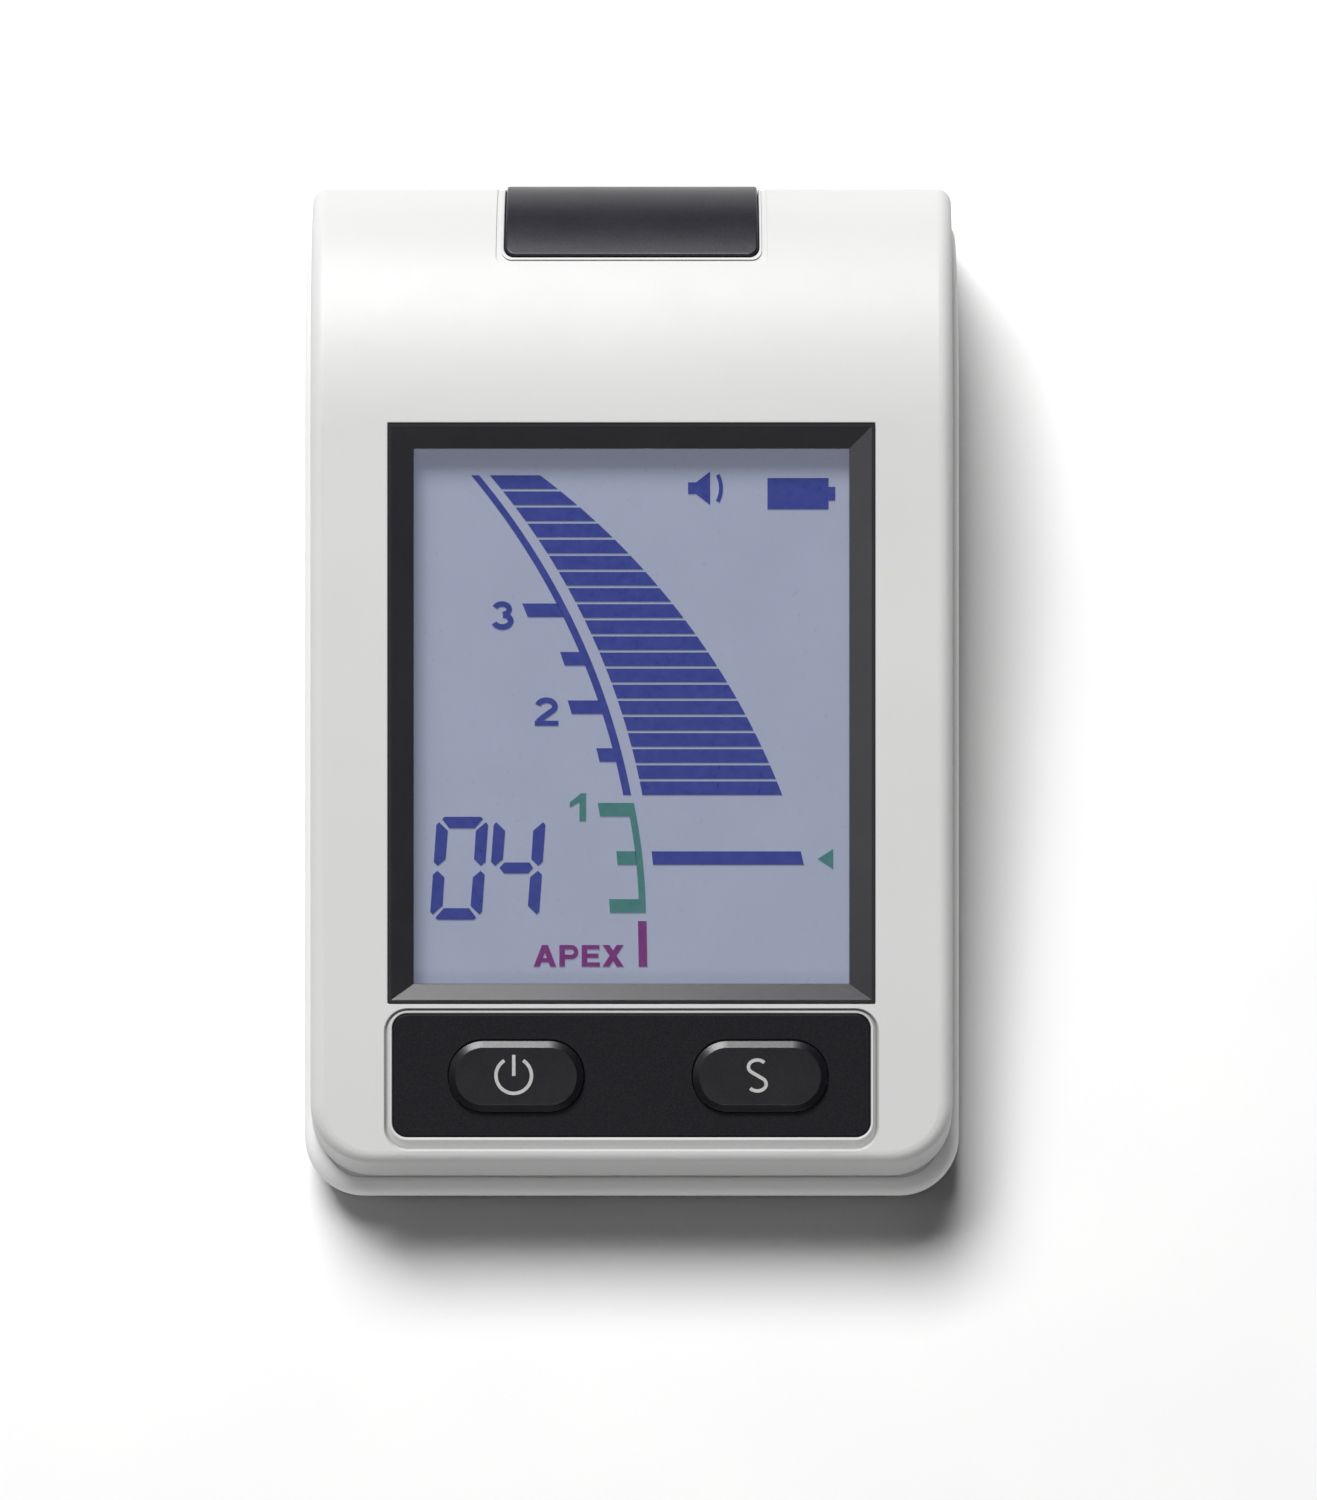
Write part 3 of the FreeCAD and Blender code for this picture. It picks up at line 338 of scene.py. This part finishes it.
def add_layer(mesh, outline, foot, thick):
    """Adds one flat shape, given as places across and up in millimetres, with its thickness."""
    foot += APART * (len(mesh.faces) % HEIGHTS)
    under = [mesh.verts.new(on_display(x, up, foot)) for x, up in outline]
    over = [mesh.verts.new(on_display(x, up, foot + thick)) for x, up in outline]
    mesh.faces.new(under[::-1])
    mesh.faces.new(over)
    for i, corner in enumerate(under):
        after = (i + 1) % len(under)
        mesh.faces.new((corner, under[after], over[after], over[i]))


def show(name, outlines, finish):
    """Sets shapes on the glass as one piece."""
    mesh = bmesh.new()
    for outline in outlines:
        add_layer(mesh, outline, GLASS_TOP, LAYER)
    finish_piece(name, mesh, finish, "casing")


def arc_x(centre_x, centre_up, radius, up):
    """Where a big arc stands across the display at this height."""
    return centre_x + math.sqrt(radius**2 - (up - centre_up) ** 2)


# The depth scale: a long curved line with ticks every half step, in blue. The line follows a big arc,
# its ends are cut level, and each tick has a leaning left end that runs into it.
LINE_ARC = (-64.12, 6.4, 64.54)
LINE_WIDE = 0.72
TICK_BITE = 0.1
SCALE_TOP, SCALE_LOW = 47.74, 18.72


def curved_strip(arc, wide, low, high, parts):
    """A strip of even width whose left side follows a big arc."""
    ups = [low + (high - low) * i / parts for i in range(parts + 1)]
    left = [(arc_x(*arc, up), up) for up in ups]
    return left + [(x + wide, up) for x, up in reversed(left)]


def tick(arc, left, low, lean, tall=1.23):
    """A tick with a leaning left end that runs into the curved line."""
    top = low + tall
    foot_end, top_end = arc_x(*arc, low) + TICK_BITE, arc_x(*arc, top) + TICK_BITE
    return [(left + lean, low), (foot_end, low), (top_end, top), (left, top)]


show("scale_line", [curved_strip(LINE_ARC, LINE_WIDE, SCALE_LOW, SCALE_TOP, 32)], blue_dye)
blue_ticks = [(-9.93, 34.87, 0.5), (-6.5, 30.47, 0.42), (-5.8, 26.07, 0.36), (-3.21, 21.73, 0.3)]
show("scale_ticks", [tick(LINE_ARC, *place) for place in blue_ticks], blue_dye)

# The green stretch of the scale near the root's tip, with three ticks on a shorter arc, and the
# magenta mark that stands for the tip itself.
STEM_ARC = (-51.74, 7.33, 52.41)
near_line = curved_strip(STEM_ARC, 0.62, 8.03, 18.0, 16)
green_ticks = [(-3.09, 16.77, 0.22), (-1.4, 12.38, 0.12), (-2.04, 8.03, 0.06)]
show("near_scale", [near_line] + [tick(STEM_ARC, *place) for place in green_ticks], green_dye)
show("end_mark", [[(0.64, 3.13), (1.42, 3.13), (1.35, 7.27), (0.57, 7.27)]], magenta_dye)

# The needle bar, which shows where the file's tip stands now, and the small green pointer at its
# right. Both are plain cut shapes.
show("needle_bar", [[(1.94, 12.38), (15.64, 12.38), (15.35, 13.6), (1.81, 13.6)]], blue_dye)
show("pointer", [[(16.9, 12.91), (18.29, 12.01), (18.29, 13.82)]], green_dye)


# The twenty bars that fill between two big arcs as the file goes down: one blank bar is set twenty
# times down the display, then each is drawn out sideways until its ends meet the arcs.
def bar_tree(finish):
    tree = bpy.data.node_groups.new("depth bars", "GeometryNodeTree")
    asks = {
        "Bars": (20, "NodeSocketInt"),
        "Pitch": (1.4626, "NodeSocketFloat"),
        "Bar height": (1.235, "NodeSocketFloat"),
        "Top": (SCALE_TOP, "NodeSocketFloat"),
        "Left arc": ((-60.1, 7.4, 62.11), "NodeSocketVector"),
        "Right arc": ((-47.82, -5.03, 65.92), "NodeSocketVector"),
        "Thickness": (LAYER, "NodeSocketFloat"),
    }
    sockets = {}
    for name, (_, kind) in asks.items():
        sockets[name] = tree.interface.new_socket(name, in_out="INPUT", socket_type=kind)
    tree.interface.new_socket("Geometry", in_out="OUTPUT", socket_type="NodeSocketGeometry")
    source = tree.nodes.new("NodeGroupInput")

    def place(kind, outlet=0, settings=None, **inputs):
        made = tree.nodes.new(kind)
        for key, value in (settings or {}).items():
            setattr(made, key, value)
        for key, value in inputs.items():
            socket = made.inputs[int(key[1:])] if key[0] == "_" else made.inputs[key.replace("_", " ")]
            if isinstance(value, bpy.types.NodeSocket):
                tree.links.new(value, socket)
            else:
                socket.default_value = value
        return made.outputs[outlet]

    def sums(operation, first, second=0.0):
        return place("ShaderNodeMath", settings={"operation": operation}, _0=first, _1=second)

    step = place("ShaderNodeCombineXYZ", Y=sums("MULTIPLY", source.outputs["Pitch"], -1.0))
    half = sums("MULTIPLY", source.outputs["Bar height"], 0.5)
    first = place("ShaderNodeCombineXYZ", X=0.5, Y=sums("SUBTRACT", source.outputs["Top"], half))
    rows = place("GeometryNodeMeshLine", Count=source.outputs["Bars"], Start_Location=first, Offset=step)
    tall = source.outputs["Bar height"]
    blank = place("GeometryNodeMeshGrid", Size_X=1.0, Size_Y=tall, Vertices_X=2, Vertices_Y=5)
    copies = place("GeometryNodeInstanceOnPoints", Points=rows, Instance=blank)
    bars = place("GeometryNodeRealizeInstances", Geometry=copies)
    spot = place("GeometryNodeInputPosition").node
    parts = place("ShaderNodeSeparateXYZ", Vector=spot.outputs[0]).node

    def arc_across(arc):
        ring = place("ShaderNodeSeparateXYZ", Vector=arc).node
        rise = sums("SUBTRACT", parts.outputs["Y"], ring.outputs["Y"])
        squared = sums("POWER", sums("ABSOLUTE", rise), 2.0)
        inside = sums("SUBTRACT", sums("POWER", ring.outputs["Z"], 2.0), squared)
        return sums("ADD", ring.outputs["X"], sums("SQRT", inside))

    left = arc_across(source.outputs["Left arc"])
    width = sums("SUBTRACT", arc_across(source.outputs["Right arc"]), left)
    across = sums("ADD", left, sums("MULTIPLY", width, parts.outputs["X"]))
    spread = place("ShaderNodeCombineXYZ", X=across, Y=parts.outputs["Y"])
    drawn = place("GeometryNodeSetPosition", Geometry=bars, Position=spread)
    thick = source.outputs["Thickness"]
    lift = {"Mesh": drawn, "Offset": (0, 0, 1), "Offset_Scale": thick, "Individual": False}
    raised = place("GeometryNodeExtrudeMesh", **lift)
    under = place("GeometryNodeFlipFaces", Mesh=drawn)
    joined = tree.nodes.new("GeometryNodeJoinGeometry")
    tree.links.new(under, joined.inputs[0])
    tree.links.new(raised, joined.inputs[0])
    closed = place("GeometryNodeMergeByDistance", Geometry=joined.outputs[0], Distance=0.001)
    solid = place("GeometryNodeRealizeInstances", Geometry=closed)
    painted = place("GeometryNodeSetMaterial", Geometry=solid, Material=finish)
    result = tree.nodes.new("NodeGroupOutput")
    tree.links.new(painted, result.inputs[0])
    return tree, sockets, asks


bars_tree, bar_sockets, bar_asks = bar_tree(blue_dye)
carrier = bpy.data.objects.new("bars_carrier", bpy.data.meshes.new("bars_carrier"))
bpy.context.scene.collection.objects.link(carrier)
bars_step = carrier.modifiers.new("depth bars", "NODES")
bars_step.node_group = bars_tree
for ask, (value, _) in bar_asks.items():
    bars_step[bar_sockets[ask].identifier] = value
shaped = carrier.evaluated_get(bpy.context.evaluated_depsgraph_get())
bars_data = bpy.data.meshes.new_from_object(shaped)
bpy.data.objects.remove(carrier)
bars_mesh = bmesh.new()
bars_mesh.from_mesh(bars_data)
for corner in bars_mesh.verts:
    corner.co = on_display(corner.co.x, corner.co.y, GLASS_TOP + corner.co.z)
finish_piece("depth_bars", bars_mesh, blue_dye, "casing")


# The figures and letters on the scale, in a heavy plain face: straight strokes are cut as bars, and
# curved ones follow parts of ellipses.
def ribbon(path, wide):
    """The outline of a stroke of even width along a path."""
    sides = ([], [])
    for i, (x, up) in enumerate(path):
        before, after = path[max(i - 1, 0)], path[min(i + 1, len(path) - 1)]
        run = Vector((after[0] - before[0], after[1] - before[1])).normalized() * wide / 2
        sides[0].append((x - run.y, up + run.x))
        sides[1].append((x + run.y, up - run.x))
    return sides[0] + sides[1][::-1]


def bow(x, up, wide, tall, start, end, parts=20):
    """Places along part of an ellipse, between two angles in degrees."""
    angles = [math.radians(start + (end - start) * i / parts) for i in range(parts + 1)]
    return [(x + wide * math.cos(a), up + tall * math.sin(a)) for a in angles]


def moved(shapes, across, up):
    """The same shapes, set down further across and up."""
    return [[(x + across, y + up) for x, y in shape] for shape in shapes]


three = [ribbon(bow(1.0, 1.86, 0.66, 0.48, 162, -84), 0.5)]
three += [ribbon(bow(1.03, 0.8, 0.77, 0.55, 84, -162), 0.52)]
two_arc = bow(1.06, 1.76, 0.78, 0.56, 168, -34) + [(0.62, 0.66), (0.3, 0.36)]
two = [ribbon(two_arc, 0.52), [(0, 0), (2.15, 0), (2.15, 0.46), (0, 0.46)]]
one = [[(0.88, 0), (1.48, 0), (1.48, 2.52), (1.03, 2.52), (0, 1.68), (0, 1.24), (0.88, 1.72)]]
CAPITAL = 1.97          # height of a capital letter
stem = [(0, 0), (0.5, 0), (0.5, CAPITAL), (0, CAPITAL)]


def leaning(foot, head):
    """A straight stroke from its foot's two ends to its head's."""
    return [(foot[0], 0), (foot[1], 0), (head[1], CAPITAL), (head[0], CAPITAL)]


letter_a = [leaning((0, 0.55), (0.76, 1.29)), leaning((1.51, 2.06), (0.77, 1.3))]
letter_a += [[(0.5, 0.4), (1.56, 0.4), (1.44, 0.78), (0.62, 0.78)]]
letter_p = [stem, ribbon([(0.3, 1.77)] + bow(1.08, 1.33, 0.44, 0.44, 90, -90) + [(0.3, 0.89)], 0.4)]
letter_e = [stem]
for up, end in ((0, 1.66), (0.8, 1.52), (1.58, 1.62)):
    letter_e.append([(0.3, up), (end, up), (end, up + 0.39), (0.3, up + 0.39)])
letter_x = [leaning((0, 0.62), (1.3, 1.92)), leaning((1.32, 1.94), (0.02, 0.64))]
show("scale_figures", moved(three, -12.77, 33.72) + moved(two, -8.8, 25.0), blue_dye)
show("near_figure", moved(one, -5.62, 16.36), green_dye)
WORD_UP = 3.13
end_word = []
for strokes, across in ((letter_a, -8.9), (letter_p, -6.56), (letter_e, -4.54), (letter_x, -2.66)):
    end_word += moved(strokes, across, WORD_UP)
show("end_word", end_word, magenta_dye)

# The two big figures, built up from seven leaning segments with mitred gaps between them. One
# upright, one level and the middle segment are drawn, and turned over or down for the others.
DIGIT_WIDE, DIGIT_TALL, DIGIT_LEAN, DIGIT_UP = 4.7, 9.35, 0.07, 7.39
upright = [(0, 5.25), (0, 8.62), (0.23, 8.86), (1.08, 8.08), (1.06, 5.5), (0.4, 4.9)]
level = [(0.7, 9.35), (4.0, 9.35), (4.2, 9.14), (3.5, 8.3), (1.2, 8.3), (0.5, 9.14)]
middle = [(0.8, 4.72), (1.2, 5.2), (3.5, 5.2), (3.85, 4.72), (3.45, 4.2), (1.25, 4.2)]


def turned_down(shape):
    return [(x, DIGIT_TALL - up) for x, up in shape]


def turned_over(shape):
    return [(DIGIT_WIDE - x, up) for x, up in shape]


segment = {
    "upper left": upright,
    "upper right": turned_over(upright),
    "lower left": turned_down(upright),
    "lower right": turned_over(turned_down(upright)),
    "top": level,
    "foot": turned_down(level),
    "middle": middle,
}


def big_figure(left, lit):
    """A figure with these segments lit."""
    return [[(left + x + up * DIGIT_LEAN, DIGIT_UP + up) for x, up in segment[name]] for name in lit]


nought = big_figure(-18.33, [name for name in segment if name != "middle"])
four = big_figure(-13.13, ["upper left", "upper right", "middle", "lower right"])
show("big_figures", nought + four, blue_dye)

# The sound sign, a cone with one curved wave, and the full battery sign with its nub, in the upper
# right corner. The wave lies between two arcs about the cone's back.
cone = [(0, 0.53), (0.73, 0.53), (2.0, 1.51), (2.0, -1.51), (0.73, -0.53), (0, -0.53)]
WAVE_REACH = 27.4       # degrees to each side of level
wave = bow(0.35, 0, 2.82, 2.82, -WAVE_REACH, WAVE_REACH, 12)
wave += bow(0.35, 0, 2.46, 2.46, WAVE_REACH, -WAVE_REACH, 12)
show("sound_sign", moved([cone, wave], 5.12, 46.57), blue_dye)
can = [(0, -1.42), (5.54, -1.42), (5.54, -0.62), (6.15, -0.62)]
can += [(x, -up) for x, up in reversed(can)]
show("battery_sign", moved([can], 12.33, 46.07), blue_dye)


# The key plate: a thin sheet of charcoal plastic with a fine speckle, sunk flush into the front cover
# and glued down. The keys come up through two holes in it.
def charcoal(name, colour, rough, shine, seed):
    """Charcoal plastic: a speckle in tone and relief, and wider patches worn to more or less gloss."""
    finish, tree, shader = new_finish(name, straight_colour(*colour), rough, Specular_IOR_Level=shine)
    speck = grain(tree, 0.00016, 2, seed=seed)
    low, high = [straight_colour(*[part + shift for part in colour]) for shift in (-4, 8)]
    tree.links.new(steps(tree, speck, (0.35, low), (0.68, high)), shader.inputs["Base Color"])
    worn = grain(tree, 0.003, 4, seed=seed + 2)
    tree.links.new(steps(tree, worn, (0.3, rough - 0.015), (0.7, rough + 0.02)), shader.inputs["Roughness"])
    dimple(tree, shader, speck, 0.000004)
    return finish


finish_node("key_panel", charcoal("charcoal sheet", (20, 19, 24), 0.5, 0.15, 0.0))

# The two keys: satin charcoal caps with sloped borders that stand proud of the plate. Each has a sign
# in thin pale ink: a broken ring with a bar for power, and the letter S.
key_finish = charcoal("charcoal key", (17, 16, 21), 0.31, 0.5, 4.0)
for key in ("power_key", "set_key"):
    finish_node(key, key_finish)
KEY_TOP = (reach("power_key", OUT)[1] - FACE) / MM
PRINT = 0.02
print_ink, ink_tree, ink_shader = new_finish("pale key print", straight_colour(176, 178, 176), 0.5)
ink_worn = grain(ink_tree, 0.0003, 4)
ink_dull, ink_bright = straight_colour(165, 167, 165), straight_colour(182, 184, 182)
ink_tint = steps(ink_tree, ink_worn, (0.3, ink_dull), (0.7, ink_bright))
ink_tree.links.new(ink_tint, ink_shader.inputs["Base Color"])
ink_tree.links.new(steps(ink_tree, ink_worn, (0.3, 0.45), (0.7, 0.6)), ink_shader.inputs["Roughness"])


def middle_of(node):
    """The middle of a part on the display, across and up."""
    low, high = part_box(node)
    centre = (low + high) / 2
    ups = reach(node, UP)
    return centre.x / MM, ((ups[0] + ups[1]) / 2 - FRAME_LOW) / MM


def print_sign(name, key, outlines, shift):
    """Prints a sign on a key, this far off its middle."""
    x, up = middle_of(key)
    mesh = bmesh.new()
    for placed in moved(outlines, x + shift[0], up + shift[1]):
        add_layer(mesh, placed, KEY_TOP, PRINT)
    finish_piece(name, mesh, print_ink, key)


STROKE = 0.31
ring = ribbon(bow(0, 0, 1.6, 1.6, 122, 418, 48), STROKE)
bar = ribbon([(0, -0.03), (0, 1.87)], STROKE)
print_sign("power_sign", "power_key", [ring, bar], (-0.2, 0.07))
bowl = bow(0, 0.775, 0.8, 0.62, 38, 233)
letter = ribbon(bowl + [(-x, -up) for x, up in reversed(bowl)], STROKE)
print_sign("set_sign", "set_key", [letter], (-0.26, 0.08))


# The socket block: satin charcoal plastic with a fine spark-eroded grain. It wraps over the back edge
# and is clamped between the covers.
finish_node("socket_block", charcoal("charcoal block", (25, 25, 33), 0.36, 0.42, 7.0))


# The probe jack and its solder pins: turned and plated brass, with the lathe's fine rings. The jack's
# collar sits in the socket block, with its mouth flush.
def turned_metal(name, colour, rough, stretch=(1, 0.05, 1)):
    """Bare metal with fine tool lines along the axis that the stretch makes long."""
    finish, tree, shader = new_finish(name, colour, rough, Metallic=1.0)
    lines = grain(tree, 0.00012, 3, stretch=stretch)
    dark = [part * 0.86 for part in colour[:3]] + [1.0]
    tree.links.new(steps(tree, lines, (0.3, dark), (0.7, colour)), shader.inputs["Base Color"])
    tree.links.new(steps(tree, lines, (0.3, rough - 0.05), (0.7, rough + 0.08)), shader.inputs["Roughness"])
    dimple(tree, shader, lines, 0.000002)
    return finish


finish_node("probe_jack", turned_metal("plated jack", (0.7, 0.66, 0.58, 1), 0.28))
finish_node("jack_pins", turned_metal("plated pins", (0.72, 0.7, 0.66, 1), 0.3))

# Inside: contact plates, leaf springs, switch cans and crystal in nickelled steel, and the case and
# board screws in zinc-plated steel. All of it is bought-in or stamped work.
nickel = turned_metal("nickelled steel", (0.66, 0.64, 0.6, 1), 0.3, stretch=(1, 1, 0.05))
for node in ("cell_plates", "cell_springs", "power_switch", "set_switch", "clock_crystal"):
    finish_node(node, nickel)
zinc = turned_metal("zinc-plated steel", (0.58, 0.59, 0.6, 1), 0.35, stretch=(1, 1, 0.1))
for node in ("case_screws", "board_screws"):
    finish_node(node, zinc)


# Inside: the plain moulded parts, each matt with a fine grain, and the rubber feet outside, which are
# stuck into round seats. The ribbon is copper on an amber film.
def plain_part(name, low, high, rough, size=0.0004, depth=0.000005):
    """A matt finish, patchy between two colours, with its grain pressed in."""
    finish, tree, shader = new_finish(name, low, rough)
    patchy = grain(tree, size, 4)
    tree.links.new(steps(tree, patchy, (0.3, low), (0.7, high)), shader.inputs["Base Color"])
    tree.links.new(steps(tree, patchy, (0.3, rough - 0.05), (0.7, rough + 0.05)), shader.inputs["Roughness"])
    dimple(tree, shader, patchy, depth)
    return finish


plain_finishes = {
    "light_guide": ("milky guide", (0.8, 0.82, 0.85, 1), (0.86, 0.88, 0.9, 1), 0.4),
    "backlight_leds": ("lamp chips", (0.85, 0.8, 0.5, 1), (0.9, 0.86, 0.6, 1), 0.4),
    "lcd_holder": ("holder plastic", (0.55, 0.55, 0.53, 1), (0.62, 0.62, 0.6, 1), 0.55),
    "controller_chip": ("chip resin", (0.018, 0.018, 0.02, 1), (0.028, 0.028, 0.03, 1), 0.6),
    "measuring_chip": ("chip resin, small", (0.02, 0.02, 0.022, 1), (0.03, 0.03, 0.032, 1), 0.6),
    "buzzer": ("buzzer case", (0.015, 0.015, 0.016, 1), (0.026, 0.026, 0.028, 1), 0.5),
    "board_passives": ("ceramic chips", (0.3, 0.2, 0.12, 1), (0.42, 0.3, 0.2, 1), 0.5),
    "jack_ribbon": ("ribbon film", (0.6, 0.32, 0.08, 1), (0.66, 0.38, 0.1, 1), 0.35, 0.001),
}
for node, told in plain_finishes.items():
    finish_node(node, plain_part(*told))
plunger = plain_part("switch plunger", (0.03, 0.03, 0.032, 1), (0.045, 0.045, 0.048, 1), 0.55)
for node in ("power_switch_plunger", "set_switch_plunger"):
    finish_node(node, plunger)
sole_dark, sole_worn = (0.02, 0.02, 0.021, 1), (0.034, 0.034, 0.035, 1)
sole = plain_part("foot rubber", sole_dark, sole_worn, 0.75, size=0.00025, depth=0.000012)
for node in ("front_feet", "back_feet"):
    finish_node(node, sole)


# The contact strips that join glass and board: soft rubber with fine carbon stripes across it,
# squeezed between the two.
def striped_rubber():
    finish, tree, shader = new_finish("striped rubber", (0.7, 0.5, 0.5, 1), 0.7)
    place = wire(tree, "TexCoord", "Object")
    stripes = wire(tree, "TexWave", Vector=place, Scale=900.0)
    carbon, rubber = (0.03, 0.03, 0.03, 1), (0.7, 0.5, 0.5, 1)
    tree.links.new(steps(tree, stripes, (0.45, carbon), (0.55, rubber)), shader.inputs["Base Color"])
    dimple(tree, shader, stripes, 0.000008)
    return finish


finish_node("contact_strips", striped_rubber())


# The circuit board: glass-fibre laminate under green solder mask, with its tracks showing as a
# lighter green and standing a little proud. Four screws hold it.
def solder_mask():
    finish, tree, shader = new_finish("green solder mask", (0.02, 0.12, 0.05, 1), 0.35)
    place = wire(tree, "TexCoord", "Object")
    tracks = wire(tree, "TexBrick", "Fac", Vector=place, Scale=260.0, Mortar_Size=0.03)
    bare, track = (0.015, 0.1, 0.04, 1), (0.04, 0.2, 0.08, 1)
    tree.links.new(steps(tree, tracks, (0.4, bare), (0.6, track)), shader.inputs["Base Color"])
    dimple(tree, shader, tracks, 0.00002)
    return finish


finish_node("main_board", solder_mask())


# The cells: three AAA cans in a printed film jacket, dark at the flat end and copper near the nub,
# with bare nickelled ends.
CELL_LONG = 0.0445


def cell_jacket(name, cell):
    """One cell's jacket, with its bands measured from the flat end to the nub."""
    low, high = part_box(cell)
    finish, tree, shader = new_finish(name, (0.03, 0.03, 0.035, 1), 0.3, Metallic=0.3)
    place = wire(tree, "TexCoord", "Object")
    turn = 1 if high.x > -low.x else -1
    along = wire(tree, "SeparateXYZ", Vector=place)
    end = max(high.x, -low.x)
    share = wire(tree, "MapRange", Value=along, From_Min=-turn * (CELL_LONG - end), From_Max=turn * end)
    copper, black, metal = (0.55, 0.26, 0.1, 1), (0.025, 0.025, 0.03, 1), (0.62, 0.6, 0.57, 1)
    flat_end, nub_end = ((0.012, metal), (0.016, black)), ((0.965, copper), (0.972, metal))
    bands = steps(tree, share, *flat_end, (0.72, black), (0.725, copper), *nub_end)
    tree.links.new(bands, shader.inputs["Base Color"])
    film = grain(tree, 0.002, 4)
    tree.links.new(steps(tree, film, (0.3, 0.26), (0.7, 0.38)), shader.inputs["Roughness"])
    dimple(tree, shader, film, 0.000006)
    return finish


for number in (1, 2, 3):
    cell = f"battery_cell_{number}"
    finish_node(cell, cell_jacket(f"cell jacket {number}", cell))
